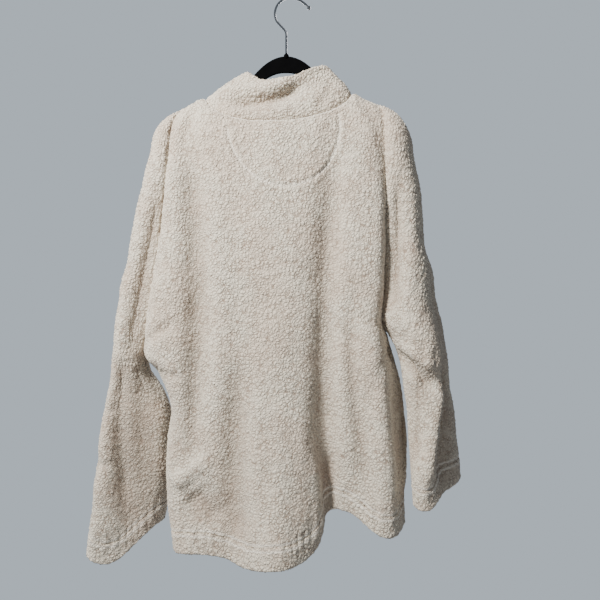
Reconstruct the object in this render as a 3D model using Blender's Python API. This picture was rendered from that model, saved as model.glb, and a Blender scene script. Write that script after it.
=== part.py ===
"""Sherpa fleece pullover hanging on a slim velvet hanger, seen with its back towards -Y.

Metres, +Z up. The origin is the inside top of the hanger's hook, where a rail bears. The
wearer's left is at -X. Tables and sizes below are in millimetres and become metres when
a mesh is made.

The garment is worked out as one surface of shared points: a ring of columns round the
chest that parts under the arms into a skirt and two sleeves. Each cut piece then takes
its own faces, is pulled back a little at its seams and gets the cloth's thickness.
"""

from math import cos, pi, sin, sqrt

import bmesh
import bpy
from mathutils import Vector

MM = 0.001

# Cloth
WALL = 5.0  # sherpa with its pile
DOUBLE_WALL = 7.5  # two layers, at turned hems, cuffs and the folded collar
SEAM_PULL = 0.6  # each piece stops this far short of its seam line
CORNER_PULL = 2.0  # and this far short of a point where three pieces meet
HEM_DEPTH = 35.0
EDGE_ROUND_BACK = 40.0  # how far in from its side a panel turns to face the viewer
EDGE_ROUND_FRONT = 30.0
SLIT_OPEN = 9.0

# Heights
CHEST_Z = -275.0  # the shoulders have rounded over by here
LEFT_UNDERARM_Z, RIGHT_UNDERARM_Z = -617.0, -567.0
LEFT_SLIT_Z, RIGHT_SLIT_Z = -852.0, -808.0
LEFT_DROP_Z, RIGHT_DROP_Z = -492.0, -457.0  # armhole seam on the outside of each arm
LEFT_SIDE, RIGHT_SIDE = -1, 1

# Rows of faces
CAP_ROWS = 5
CHEST_ROWS = 8
SKIRT_ROWS = 8  # underarm to the top of the side slits
TAIL_ROWS = 3  # slit top to the hem's stitching
BAND_ROWS = 2  # turned hem or cuff
SLEEVE_ROWS = 11
COLLAR_ROWS = 6
ARM_COLUMNS = 7
SHOULDER_COLUMNS = 4
NECK_COLUMNS = {"back": 16, "front": 12}
SHOULDER_SHARE = 0.13  # of the chest's width, below each shoulder
NECK_CROWDING = 0.6

# Shoulder ridge, from neck to the outside of each shoulder
RIDGE_COLUMNS = ("x", "z")
RIDGE = (
    (-204, -213),
    (-190, -201),
    (-176, -194),
    (-159, -184),
    (-150, -176),
    (107, -166),
    (121, -177),
    (138, -182),
    (157, -191),
    (170, -201),
    (182, -215),
)
NECK_LEFT, NECK_RIGHT = -150.0, 107.0
TROUGH_TOP_LEFT, TROUGH_TOP_RIGHT = -184.0, 148.0
ARM_TOP_LEFT, ARM_TOP_RIGHT = -204.0, 182.0

# Neck seam: how far it drops and stands out at the middle of the back and front
NECK_BACK_DROP, NECK_BACK_Y = 56.0, -36.0
NECK_FRONT_DROP, NECK_FRONT_Y = 80.0, 30.0
NECK_DROP_POWER, NECK_DEPTH_POWER = 1.0, 0.6

# Sides of the body: the trough beside each arm, and the side seams below the arms
SIDE_COLUMNS = ("z", "back_x", "front_x")
LEFT_EDGE = (
    (-275, -205, -205),
    (-360, -214, -214),
    (-450, -224, -224),
    (-530, -236, -236),
    (-617, -252, -252),
    (-642, -229, -226),
    (-672, -211, -200),
    (-710, -205, -186),
    (-780, -212, -182),
    (-852, -213, -182),
    (-950, -197, -184),
)
RIGHT_EDGE = (
    (-275, 160, 162),
    (-360, 160, 164),
    (-450, 160, 164),
    (-530, 157, 160),
    (-567, 154, 155),
    (-596, 164, 168),
    (-672, 170, 194),
    (-767, 175, 206),
    (-831, 180, 204),
    (-906, 191, 192),
)

# Depth of the back and front panels from the hanger's plane
PANEL_COLUMNS = ("z", "back_y", "front_y")
PANELS = (
    (-275, -48, 31),
    (-400, -52, 35),
    (-560, -54, 38),
    (-750, -56, 40),
    (-950, -58, 38),
)

# Half depth of the trough between body and arm, shallow at the shoulder
TROUGH_COLUMNS = ("z", "back", "front")
TROUGH = (
    (-275, 33, 20),
    (-350, 27, 17),
    (-430, 20, 15),
    (-500, 15, 14),
    (-560, 14, 14),
)

# Large folds. A positive rise stands out from the panel, a negative one is a trough.
FOLD_COLUMNS = ("x_chest", "x_waist", "x_hem", "rise_chest", "rise_waist", "rise_hem", "width")
FOLD_HEIGHTS = (-300, -600, -940)
BACK_FOLDS = (
    (-168, -151, -168, -5, -13, -2, 17),  # beside the left arm, fading out above the hem
    (-90, -90, -98, 0, -3, -10, 22),  # left of the middle bulge
    (-30, -25, -20, 2, 7, 40, 64),  # middle bulge, fullest at the hem
    (76, 60, 64, -6, -20, -46, 24),  # main valley
    (100, 104, 106, 0, 0, -20, 26),  # valley floor, widening at the hem
    (150, 150, 160, 2, 8, 8, 24),  # ridge along the right side
)
FRONT_FOLDS = (
    (-110, -118, -122, 0, 4, 9, 34),
    (-40, -30, -24, 0, -5, -9, 30),
    (40, 44, 52, 0, 4, 8, 34),
    (112, 120, 122, 0, -5, -9, 28),
)

# Hem edge of each panel
HEM_COLUMNS = ("x", "back_z", "front_z")
HEM = (
    (-200, -954, -905),
    (-178, -943, -904),
    (-136, -943, -902),
    (-110, -949, -901),
    (-84, -960, -900),
    (-55, -958, -899),
    (-22, -951, -897),
    (11, -950, -895),
    (36, -943, -893),
    (51, -930, -891),
    (64, -897, -890),
    (80, -882, -888),
    (94, -878, -886),
    (113, -884, -883),
    (129, -896, -880),
    (145, -910, -877),
    (171, -917, -871),
    (195, -914, -863),
)

# Arms: outer and inner edge, how far the back and front of the tube bulge from the line
# between them, and where its back is fullest (1 midway, less towards the outer edge)
ARM_TABLE_COLUMNS = (
    "z", "outer_x", "outer_y", "inner_x", "inner_y", "back_bulge", "front_bulge", "skew",
)
LEFT_ARM = (
    (-275, -241, 0, -205, 0, 24, 16, 0.70),
    (-364, -263, 0, -214, 0, 27, 19, 0.65),
    (-475, -281, 0, -228, 0, 31, 22, 0.60),
    (-498, -290, 0, -232, 0, 33, 23, 0.60),
    (-617, -303, 0, -252, 0, 37, 24, 0.58),
    (-642, -307, 1, -256, 3, 38, 24, 0.56),
    (-680, -313, 1, -236, 12, 42, 22, 0.50),
    (-738, -322, 1, -217, 22, 46, 19, 0.46),
    (-824, -333, 2, -219, 28, 46, 17, 0.45),
    (-895, -341, 2, -230, 33, 43, 16, 0.45),
    (-965, -349, 2, -246, 37, 40, 15, 0.45),
)
RIGHT_ARM = (
    (-275, 213, 0, 160, 0, 28, 18, 0.90),
    (-350, 225, 0, 160, 0, 31, 20, 0.95),
    (-442, 235, 0, 160, 0, 36, 22, 1.00),
    (-462, 244, 0, 159, 0, 38, 22, 1.00),
    (-520, 253, 0, 157, 0, 44, 23, 1.15),
    (-567, 262, 0, 154, 0, 48, 24, 1.25),
    (-590, 266, 1, 181, -9, 44, 24, 1.20),
    (-655, 275, 3, 196, -27, 36, 22, 1.10),
    (-738, 287, 5, 203, -36, 26, 20, 1.00),
    (-824, 297, 7, 209, -42, 22, 19, 1.00),
    (-870, 301, 8, 211, -44, 22, 19, 1.00),
)
CUFF_COLUMNS = ("across", "left_z", "right_z")
CUFF = (
    (0.0, -957, -839),
    (0.2, -970, -842),
    (0.35, -977, -845),
    (0.5, -975, -848),
    (0.65, -962, -860),
    (0.8, -943, -871),
    (1.0, -926, -869),
)

# Elbow ledge on the right sleeve: its lower edge drops as it runs outwards
LEDGE_RISE = 20.0
LEDGE_INNER_Z, LEDGE_OUTER_Z = -575.0, -668.0
LEDGE_SOFTNESS = 26.0
LEDGE_TOP_FADE = 120.0

# Collar top edge
COLLAR_TOP_X, COLLAR_TOP_HALF = -4.0, 71.0
COLLAR_TOP_BACK_Y, COLLAR_TOP_FRONT_Y = -27.0, 22.0
COLLAR_EDGE_COLUMNS = ("turn", "z")
COLLAR_EDGE = (  # turns from the left side over the back to the right side and the front
    (0.00, -131),
    (0.07, -138),
    (0.16, -155),
    (0.24, -152),
    (0.34, -132),
    (0.43, -124),
    (0.50, -130),
    (0.60, -160),
    (0.75, -188),
    (0.90, -162),
    (1.00, -131),
)
COLLAR_SQUARENESS = 0.6
COLLAR_SWELL = 5.0
COLLAR_CREASE = 9.0

# Hanger and hook
HANGER_X, HANGER_TOP_Z = -8.0, -101.0
HANGER_HALF = 200.0
HANGER_THICK = 5.0
HANGER_CROWN_HALF, HANGER_CROWN_DROP = 57.0, 34.0
HANGER_SLOPE = 0.80
HANGER_MIDDLE_TALL, HANGER_END_TALL = 29.0, 15.0
HANGER_STATIONS = 48
HANGER_TIP = 24.0  # length over which the ends round off
HANGER_EDGE, HANGER_SIDES = 1.8, 12
BOSS_RADIUS, BOSS_TALL = 4.7, 5.5
WIRE_RADIUS = 1.9
HOOK_RADIUS = 28.0
HOOK_CENTRE_Z = WIRE_RADIUS - HOOK_RADIUS
HOOK_TIP_RADIUS = 3.4
HOOK_START, HOOK_END = 0.13, 1.17  # of half a turn, from the right side over the top
HOOK_FLARE = 4.0
HOOK_NECK = (-11.0, -54.5)  # x and z where the hook bends into its stem
STEM_X = -8.0
WIRE_SIDES = 10


def steady(points, at):
    """The value at `at` on a smooth curve through (position, value) points."""
    points = sorted(points)
    if at <= points[0][0]:
        return float(points[0][1])
    if at >= points[-1][0]:
        return float(points[-1][1])
    k = max(i for i, p in enumerate(points[:-1]) if p[0] <= at)
    (x0, y0), (x1, y1) = points[k], points[k + 1]

    def slope(i):
        if i <= 0 or i >= len(points) - 1:
            return (y1 - y0) / (x1 - x0)
        before = (points[i][1] - points[i - 1][1]) / (points[i][0] - points[i - 1][0])
        after = (points[i + 1][1] - points[i][1]) / (points[i + 1][0] - points[i][0])
        if before * after <= 0:
            return 0.0
        return 2 * before * after / (before + after)

    length = x1 - x0
    t = (at - x0) / length
    return (
        y0 * (1 + 2 * t) * (1 - t) ** 2
        + y1 * t * t * (3 - 2 * t)
        + slope(k) * length * t * (1 - t) ** 2
        - slope(k + 1) * length * t * t * (1 - t)
    )


def read(table, columns, name, at):
    """A named column of a table, at a place between its rows."""
    k = columns.index(name)
    return steady([(row[0], row[k]) for row in table], at)


def mix(a, b, t):
    return a + (b - a) * t


def ease(t):
    t = min(max(t, 0.0), 1.0)
    return t * t * (3 - 2 * t)


def round_over(distance, radius):
    """0 at a panel's side, rising as a quarter circle to 1 at `radius` in from it."""
    s = min(max(distance / radius, 0.0), 1.0)
    return sqrt(1 - (1 - s) ** 2)


def fold_rise(folds, x, z):
    rise = 0.0
    for row in folds:
        fold = dict(zip(FOLD_COLUMNS, row))
        xs = (fold["x_chest"], fold["x_waist"], fold["x_hem"])
        rises = (fold["rise_chest"], fold["rise_waist"], fold["rise_hem"])
        centre = steady(list(zip(FOLD_HEIGHTS, xs)), z)
        height = steady(list(zip(FOLD_HEIGHTS, rises)), z)
        rise += height / (1 + ((x - centre) / fold["width"]) ** 2) ** 2
    return rise


# ---------------------------------------------------------------- body


def body_point(face, across, z):
    """A point of the back or front panel, `across` from 0 at its left side to 1."""
    side = face + "_x"
    left = read(LEFT_EDGE, SIDE_COLUMNS, side, z)
    right = read(RIGHT_EDGE, SIDE_COLUMNS, side, z)
    x = mix(left, right, across)
    out = -1 if face == "back" else 1
    radius = EDGE_ROUND_BACK if face == "back" else EDGE_ROUND_FRONT
    folds = BACK_FOLDS if face == "back" else FRONT_FOLDS
    full = abs(read(PANELS, PANEL_COLUMNS, face + "_y", z)) + fold_rise(folds, x, z)
    edge = read(TROUGH, TROUGH_COLUMNS, face, z)
    depth = mix(edge, full, round_over(min(x - left, right - x), radius))
    return Vector((x, out * depth, z))


def side_point(side, z, open_by=0.0):
    """The side seam, between the panels. Below the slit each panel has its own edge."""
    table = LEFT_EDGE if side == LEFT_SIDE else RIGHT_EDGE
    back = read(table, SIDE_COLUMNS, "back_x", z)
    front = read(table, SIDE_COLUMNS, "front_x", z)
    return Vector(((back + front) / 2 + 4 * side, open_by, z))


def neck_point(face, x):
    """The neck seam above the back or front panel."""
    middle, half = (NECK_LEFT + NECK_RIGHT) / 2, (NECK_RIGHT - NECK_LEFT) / 2
    along = min(max((x - middle) / half, -1.0), 1.0)
    swing = sqrt(max(1 - along * along, 0.0))
    drop = NECK_BACK_DROP if face == "back" else NECK_FRONT_DROP
    depth = NECK_BACK_Y if face == "back" else NECK_FRONT_Y
    side_z = mix(ridge_z(NECK_LEFT), ridge_z(NECK_RIGHT), (along + 1) / 2)
    return Vector((x, depth * swing**NECK_DEPTH_POWER, side_z - drop * swing**NECK_DROP_POWER))


def ridge_z(x):
    return read(RIDGE, RIDGE_COLUMNS, "z", x)


def shoulder_steps():
    """Shares of a shoulder's length, closer together at its outer end."""
    return [(k / SHOULDER_COLUMNS) ** 1.25 for k in range(SHOULDER_COLUMNS + 1)]


def neck_steps(face):
    """Shares of the neck's width, closer together at its corners, and even shares."""
    count = NECK_COLUMNS[face]
    even = [k / count for k in range(1, count)]
    return [(mix(t, (1 - cos(pi * t)) / 2, NECK_CROWDING), t) for t in even]


def body_columns(face):
    """(x at the top, share of the width at chest height) for each column of a panel."""
    shoulder = [
        (mix(TROUGH_TOP_LEFT, NECK_LEFT, s), SHOULDER_SHARE * s) for s in shoulder_steps()
    ]
    neck = [
        (mix(NECK_LEFT, NECK_RIGHT, top), mix(SHOULDER_SHARE, 1 - SHOULDER_SHARE, even))
        for top, even in neck_steps(face)
    ]
    far_shoulder = [
        (mix(TROUGH_TOP_RIGHT, NECK_RIGHT, s), 1 - SHOULDER_SHARE * s)
        for s in reversed(shoulder_steps())
    ]
    return shoulder + neck + far_shoulder


# ---------------------------------------------------------------- arms


def arm_line(side, z):
    table = LEFT_ARM if side == LEFT_SIDE else RIGHT_ARM
    return {name: read(table, ARM_TABLE_COLUMNS, name, z) for name in ARM_TABLE_COLUMNS[1:]}


def ledge(across, z):
    """The right sleeve's elbow fold stands out above its edge and drops back below it."""
    edge = mix(LEDGE_OUTER_Z, LEDGE_INNER_Z, across)
    above = (z - edge) / LEDGE_SOFTNESS + 0.5
    fade = 1 - ease((z - edge - LEDGE_SOFTNESS) / LEDGE_TOP_FADE)
    return LEDGE_RISE * ease(above) * fade * sin(pi * min(across * 0.8 + 0.2, 1.0))


def arm_point(side, face, across, z):
    """A point of an arm, `across` from 0 on its outside to 1 beside the body."""
    arm = arm_line(side, z)
    skewed = across ** arm["skew"] if face == "back" else across
    swell = 2 * sqrt(max(skewed * (1 - skewed), 0.0))
    x = mix(arm["outer_x"], arm["inner_x"], across)
    middle = mix(arm["outer_y"], arm["inner_y"], across)
    if face == "back":
        rise = arm["back_bulge"] * swell + read(TROUGH, TROUGH_COLUMNS, face, z) * across
        if side == RIGHT_SIDE:
            rise += ledge(across, z)
        return Vector((x, middle - rise, z))
    rise = arm["front_bulge"] * swell + read(TROUGH, TROUGH_COLUMNS, face, z) * across
    return Vector((x, middle + rise, z))


def inner_arm_point(side, z):
    """The underarm seam of a sleeve, facing the body."""
    arm = arm_line(side, z)
    return Vector((arm["inner_x"] - 4 * side, arm["inner_y"], z))


def arm_shares():
    return [(1 - cos(pi * k / ARM_COLUMNS)) / 2 for k in range(ARM_COLUMNS + 1)]


def armhole_z(side, across):
    """The dropped armhole seam, lowest under the arm."""
    high = LEFT_DROP_Z if side == LEFT_SIDE else RIGHT_DROP_Z
    low = LEFT_UNDERARM_Z if side == LEFT_SIDE else RIGHT_UNDERARM_Z
    return mix(high, low, ease(across))


def cuff_z(side, across):
    return read(CUFF, CUFF_COLUMNS, "left_z" if side == LEFT_SIDE else "right_z", across)


# ---------------------------------------------------------------- the surface


class Surface:
    """Points shared between the pieces, and each piece's faces."""

    def __init__(self):
        self.mesh = bmesh.new()
        self.points = {}
        self.pieces = {}
        self.owner = {}

    def point(self, key, place):
        if key not in self.points:
            self.points[key] = self.mesh.verts.new(place)
        return self.points[key]

    def patch(self, piece, grid):
        """Quads of a grid of points, given as rows of vertices."""
        faces = self.pieces.setdefault(piece, [])
        for upper, lower in zip(grid, grid[1:]):
            for a, b, c, d in zip(upper, upper[1:], lower[1:], lower):
                corners = list(dict.fromkeys((a, b, c, d)))
                if len(corners) > 2:
                    faces.append(self.mesh.faces.new(corners))
                    self.owner[faces[-1]] = piece

    def finish(self):
        bmesh.ops.recalc_face_normals(self.mesh, faces=self.mesh.faces[:])
        self.mesh.normal_update()
        behind = min(self.mesh.verts, key=lambda v: v.co.y)
        if behind.normal.y > 0:
            bmesh.ops.reverse_faces(self.mesh, faces=self.mesh.faces[:])
            self.mesh.normal_update()


def capped_rows(top, low, place_at):
    """A column from its top point, rounded over to chest height, then down to `low`."""
    reference = place_at(CHEST_Z)
    column = []
    for k in range(CAP_ROWS):
        turn = pi / 2 * k / CAP_ROWS
        flat = Vector((reference.x - top.x, reference.y - top.y, 0)) * sin(turn)
        column.append(top + flat + Vector((0, 0, (reference.z - top.z) * (1 - cos(turn)))))
    for k in range(CHEST_ROWS + 1):
        column.append(place_at(mix(CHEST_Z, low, k / CHEST_ROWS)))
    return column


def chest(surface):
    """The front and back from the shoulders to the underarms, with the tops of the arms."""
    grids = {}
    for face in ("back", "front"):
        columns = []
        for number, (top_x, share) in enumerate(body_columns(face)):
            on_neck = NECK_LEFT <= top_x <= NECK_RIGHT
            top = neck_point(face, top_x) if on_neck else Vector((top_x, 0, ridge_z(top_x)))
            low = mix(LEFT_UNDERARM_Z, RIGHT_UNDERARM_Z, share)
            places = capped_rows(top, low, lambda z, s=share: body_point(face, s, z))
            on_ridge = top_x <= NECK_LEFT or top_x >= NECK_RIGHT
            keys = [(face, "body", number, row) for row in range(len(places))]
            if on_ridge:
                keys[0] = ("ridge", round(top_x, 3))
            columns.append([surface.point(k, p) for k, p in zip(keys, places)])
        grids[face] = columns
        surface.patch(face, list(zip(*columns)))
    for side in (LEFT_SIDE, RIGHT_SIDE):
        outer = ARM_TOP_LEFT if side == LEFT_SIDE else ARM_TOP_RIGHT
        inner = TROUGH_TOP_LEFT if side == LEFT_SIDE else TROUGH_TOP_RIGHT
        for face in ("back", "front"):
            body_edge = grids[face][0 if side == LEFT_SIDE else -1]
            columns = []
            for number, share in enumerate(arm_shares()[:-1]):
                top_x = mix(outer, inner, share)
                top = Vector((top_x, 0, ridge_z(top_x)))
                low = armhole_z(side, share)
                places = capped_rows(
                    top, low, lambda z, s=share: arm_point(side, face, s, z)
                )
                name = "outer" if number == 0 else face
                keys = [(name, side, number, row) for row in range(len(places))]
                keys[0] = ("ridge", round(top_x, 3))
                columns.append([surface.point(k, p) for k, p in zip(keys, places)])
            columns.append(body_edge)
            grids[face, side] = columns
            surface.patch(face, list(zip(*columns)))
    return grids


def skirt(surface, grids):
    """The body below the arms, its side seams, its slits and its turned hems."""
    edges = {}
    for face in ("back", "front"):
        columns = body_columns(face)
        for number, (_, share) in enumerate(columns):
            under = mix(LEFT_UNDERARM_Z, RIGHT_UNDERARM_Z, share)
            slit = mix(LEFT_SLIT_Z, RIGHT_SLIT_Z, share)
            hem = hem_z(face, share)
            heights = [mix(under, slit, k / SKIRT_ROWS) for k in range(1, SKIRT_ROWS + 1)]
            heights += tail_heights(slit, hem)
            places = [body_point(face, share, z) for z in heights]
            verts = [
                surface.point((face, "skirt", number, row), place)
                for row, place in enumerate(places)
            ]
            edges[face, number] = [grids[face][number][-1], *verts]
        inner = [edges[face, number] for number in range(len(columns))]
        sides = [side_column(surface, face, side) for side in (LEFT_SIDE, RIGHT_SIDE)]
        join_panel(surface, face, [sides[0], *inner, sides[1]])


def hem_z(face, share):
    x = mix(HEM[0][0], HEM[-1][0], share)
    return read(HEM, HEM_COLUMNS, face + "_z", x)


def tail_heights(slit, hem):
    stitching = hem + HEM_DEPTH
    tail = [mix(slit, stitching, k / TAIL_ROWS) for k in range(1, TAIL_ROWS + 1)]
    band = [mix(stitching, hem, k / BAND_ROWS) for k in range(1, BAND_ROWS + 1)]
    return tail + band


def side_column(surface, face, side):
    under = LEFT_UNDERARM_Z if side == LEFT_SIDE else RIGHT_UNDERARM_Z
    slit = LEFT_SLIT_Z if side == LEFT_SIDE else RIGHT_SLIT_Z
    table = LEFT_EDGE if side == LEFT_SIDE else RIGHT_EDGE
    under_x = read(table, SIDE_COLUMNS, "back_x", under)
    column = [surface.point(("underarm", side), Vector((under_x, 0, under)))]
    for k in range(1, SKIRT_ROWS + 1):
        place = side_point(side, mix(under, slit, k / SKIRT_ROWS))
        column.append(surface.point(("side", side, k), place))
    hem = hem_z(face, 0.0 if side == LEFT_SIDE else 1.0)
    out = -1 if face == "back" else 1
    for k, z in enumerate(tail_heights(slit, hem)):
        opening = SLIT_OPEN * ease((slit - z) / 40.0)
        column.append(surface.point((face, "slit", side, k), side_point(side, z, out * opening)))
    return column


def join_panel(surface, face, columns):
    """A panel's strip of columns, its last rows being the turned hem."""
    rows = list(zip(*columns))
    band = len(rows) - 1 - BAND_ROWS
    surface.patch(face, rows[: band + 1])
    surface.patch("hem_" + face, rows[band:])


def sleeves(surface, grids):
    names = {LEFT_SIDE: "left", RIGHT_SIDE: "right"}
    for side, name in names.items():
        ring = []
        for face in ("back", "front"):
            columns = []
            for number, share in enumerate(arm_shares()):
                seam = armhole_z(side, share)
                cuff = cuff_z(side, share)
                places = [arm_point(side, face, share, z) for z in sleeve_heights(seam, cuff)]
                label = "outer" if number == 0 else face
                verts = [
                    surface.point(("sleeve", label, side, number, row), place)
                    for row, place in enumerate(places)
                ]
                columns.append([grids[face, side][number][-1], *verts])
            ring += columns[::-1] if face == "back" else columns[1:]
        under = LEFT_UNDERARM_Z if side == LEFT_SIDE else RIGHT_UNDERARM_Z
        heights = sleeve_heights(under, cuff_z(side, 1.0))
        seam = [surface.points["underarm", side]]
        seam += [
            surface.point(("sleeve", "seam", side, row), inner_arm_point(side, z))
            for row, z in enumerate(heights)
        ]
        rows = list(zip(seam, *ring, seam))
        cuff_row = len(rows) - 1 - BAND_ROWS
        surface.patch("sleeve_" + name, rows[: cuff_row + 1])
        surface.patch("cuff_" + name, rows[cuff_row:])


def sleeve_heights(seam, cuff):
    stitching = cuff + HEM_DEPTH
    down = [mix(seam, stitching, k / SLEEVE_ROWS) for k in range(1, SLEEVE_ROWS + 1)]
    return down + [mix(stitching, cuff, k / BAND_ROWS) for k in range(1, BAND_ROWS + 1)]


def collar(surface, grids):
    """A funnel collar on the neck seam, slumped at the back."""
    back = [c[0] for c in grids["back"] if NECK_LEFT - 0.01 <= c[0].co.x <= NECK_RIGHT + 0.01]
    front = [c[0] for c in grids["front"] if NECK_LEFT - 0.01 <= c[0].co.x <= NECK_RIGHT + 0.01]
    base = back + front[::-1][1:-1]
    turns = [k / (len(back) - 1) / 2 for k in range(len(back))]
    turns += [0.5 + k / (len(front) - 1) / 2 for k in range(1, len(front) - 1)]
    rows = [base]
    for row in range(1, COLLAR_ROWS + 1):
        up = row / COLLAR_ROWS
        ring = []
        for number, (turn, foot) in enumerate(zip(turns, base)):
            angle = 2 * pi * turn
            depth = COLLAR_TOP_BACK_Y if turn <= 0.5 else COLLAR_TOP_FRONT_Y
            rim = Vector((
                COLLAR_TOP_X - COLLAR_TOP_HALF * cos(angle),
                depth * abs(sin(angle)) ** COLLAR_SQUARENESS,
                read(COLLAR_EDGE, COLLAR_EDGE_COLUMNS, "z", turn),
            ))
            place = foot.co.lerp(rim, up)
            outwards = Vector((-cos(angle), -sin(angle), 0))
            crease_at = 0.30 + 0.55 * turn / 0.5
            crease = COLLAR_CREASE * max(0.0, 1 - ((up - crease_at) / 0.3) ** 2)
            crease *= ease(sin(angle) * 1.4) if turn <= 0.5 else 0.0
            place += outwards * (COLLAR_SWELL * sin(pi * up) - crease)
            ring.append(surface.point(("collar", number, row), place))
        rows.append(ring)
    surface.patch("collar", [[*row, row[0]] for row in rows])


# ---------------------------------------------------------------- solids


def thicken(surface, piece, wall):
    """One closed solid from a piece's faces, with its edges pulled back from seams."""
    faces = surface.pieces[piece]
    own = set(faces)
    verts = list(dict.fromkeys(v for f in faces for v in f.verts))
    places = {}
    for v in verts:
        place = v.co.copy()
        meeting = {surface.owner[f] for f in v.link_faces}
        if len(meeting) > 1:
            inward = Vector()
            for f in v.link_faces:
                way = (f.calc_center_median() - v.co).normalized() * f.calc_area()
                inward += way if f in own else -way
            inward -= v.normal * inward.dot(v.normal)
            place += inward.normalized() * (CORNER_PULL if len(meeting) > 2 else SEAM_PULL)
        places[v] = place
    solid = bmesh.new()
    outer = {v: solid.verts.new((places[v] + v.normal * wall / 2) * MM) for v in verts}
    inner = {v: solid.verts.new((places[v] - v.normal * wall / 2) * MM) for v in verts}
    for f in faces:
        solid.faces.new([outer[v] for v in f.verts])
        solid.faces.new([inner[v] for v in reversed(f.verts)])
        for loop in f.loops:
            a, b = loop.vert, loop.link_loop_next.vert
            shared = [g for g in loop.edge.link_faces if g in own]
            if len(shared) == 1:
                solid.faces.new([outer[b], outer[a], inner[a], inner[b]])
    return solid


def material(name, colour, roughness, metallic=0.0):
    made = bpy.data.materials.new(name)
    made.use_nodes = True
    shader = made.node_tree.nodes["Principled BSDF"]
    shader.inputs["Base Color"].default_value = (*colour, 1)
    shader.inputs["Roughness"].default_value = roughness
    shader.inputs["Metallic"].default_value = metallic
    return made


def add_object(name, solid, finish):
    mesh = bpy.data.meshes.new(name)
    bmesh.ops.triangulate(solid, faces=solid.faces[:])
    solid.to_mesh(mesh)
    solid.free()
    mesh.materials.append(finish)
    mesh.shade_smooth()
    mesh.set_sharp_from_angle(angle=pi / 3)
    made = bpy.data.objects.new(name, mesh)
    bpy.context.scene.collection.objects.link(made)
    return made


def close_rings(solid, rings):
    """Faces between one ring of points and the next, and across both ends."""
    for a, b in zip(rings, rings[1:]):
        for s in range(len(a)):
            n = (s + 1) % len(a)
            solid.faces.new([a[s], a[n], b[n], b[s]])
    solid.faces.new(rings[0])
    solid.faces.new(rings[-1][::-1])
    bmesh.ops.recalc_face_normals(solid, faces=solid.faces[:])


def hanger_top(dx):
    """Top edge of the hanger, from the middle: a low crown, then straight arms."""
    away = abs(dx)
    if away < HANGER_CROWN_HALF:
        return HANGER_TOP_Z - HANGER_CROWN_DROP * (away / HANGER_CROWN_HALF) ** 2
    return HANGER_TOP_Z - HANGER_CROWN_DROP - HANGER_SLOPE * (away - HANGER_CROWN_HALF)


def hanger(finish):
    """A flat arm plate with rounded edges and tips, and a small round boss for the hook."""
    solid = bmesh.new()
    rings = []
    for k in range(HANGER_STATIONS + 1):
        dx = HANGER_HALF * (2 * k / HANGER_STATIONS - 1)
        tall = mix(HANGER_MIDDLE_TALL, HANGER_END_TALL, abs(dx) / HANGER_HALF)
        tall *= 0.45 + 0.55 * ease((HANGER_HALF - abs(dx)) / HANGER_TIP)
        lowered = (1 - ease((HANGER_HALF - abs(dx)) / HANGER_TIP)) * HANGER_END_TALL * 0.25
        middle = hanger_top(dx) - lowered - tall / 2
        ring = []
        for s in range(HANGER_SIDES):
            turn = 2 * pi * (s + 0.5) / HANGER_SIDES
            round_y = HANGER_EDGE * cos(turn)
            round_z = HANGER_EDGE * sin(turn)
            y = round_y + (HANGER_THICK / 2 - HANGER_EDGE) * (1 if round_y > 0 else -1)
            z = round_z + (tall / 2 - HANGER_EDGE) * (1 if round_z > 0 else -1)
            ring.append(solid.verts.new(Vector((HANGER_X + dx, y, middle + z)) * MM))
        rings.append(ring)
    close_rings(solid, rings)
    plate = add_object("hanger_body", solid, finish)
    bpy.ops.mesh.primitive_uv_sphere_add(
        segments=20, ring_count=10, radius=1,
        location=(HANGER_X * MM, 0, (HANGER_TOP_Z - 0.4) * MM),
    )
    boss = bpy.context.object
    boss.name = "boss_shape"
    boss.scale = (BOSS_RADIUS * MM, BOSS_RADIUS * MM, BOSS_TALL * MM)
    boss.hide_render = True
    boss.display_type = "WIRE"
    joined = plate.modifiers.new("boss", "BOOLEAN")
    joined.operation = "UNION"
    joined.object = boss
    return plate


def hook_path():
    """Wire centres and radii from the ball tip over the top and down to the boss."""
    start, end = HOOK_START, HOOK_END
    path = []
    steps = 26
    for k in range(steps + 1):
        turn = pi * mix(start, end, k / steps)
        flare = HOOK_FLARE * max(0.0, 1 - k / 6) ** 2
        reach = HOOK_RADIUS + flare
        path.append((reach * cos(turn), HOOK_CENTRE_Z + reach * sin(turn), WIRE_RADIUS))
    tip = Vector(path[0][:2])
    along = (tip - Vector(path[1][:2])).normalized()
    ball = []
    for k in range(7):
        lift = pi * (1 - k / 7)
        centre = tip + along * HOOK_TIP_RADIUS
        spot = centre - along * HOOK_TIP_RADIUS * cos(lift)
        ball.append((spot.x, spot.y, max(HOOK_TIP_RADIUS * sin(lift), 0.4)))
    neck_x, neck_z = HOOK_NECK
    last_x, last_z, _ = path[-1]
    path += [(mix(last_x, neck_x, k / 3), mix(last_z, neck_z, k / 3), WIRE_RADIUS) for k in (1, 2, 3)]
    path.append((STEM_X - 0.6, neck_z - 4.0, WIRE_RADIUS))
    bottom = HANGER_TOP_Z - 0.4 + BOSS_TALL + 0.3
    path += [(STEM_X, mix(neck_z - 8.0, bottom, k / 3), WIRE_RADIUS) for k in range(4)]
    return ball + path


def hook(finish):
    path = hook_path()
    solid = bmesh.new()
    rings = []
    for k, (x, z, radius) in enumerate(path):
        before = Vector(path[max(k - 1, 0)][:2])
        after = Vector(path[min(k + 1, len(path) - 1)][:2])
        along = (after - before).normalized()
        across = Vector((-along.y, 0, along.x))
        ring = []
        for s in range(WIRE_SIDES):
            turn = 2 * pi * s / WIRE_SIDES
            place = Vector((x, 0, z)) + (across * cos(turn) + Vector((0, sin(turn), 0))) * radius
            ring.append(solid.verts.new(place * MM))
        rings.append(ring)
    close_rings(solid, rings)
    return add_object("hanger_hook", solid, finish)


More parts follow.
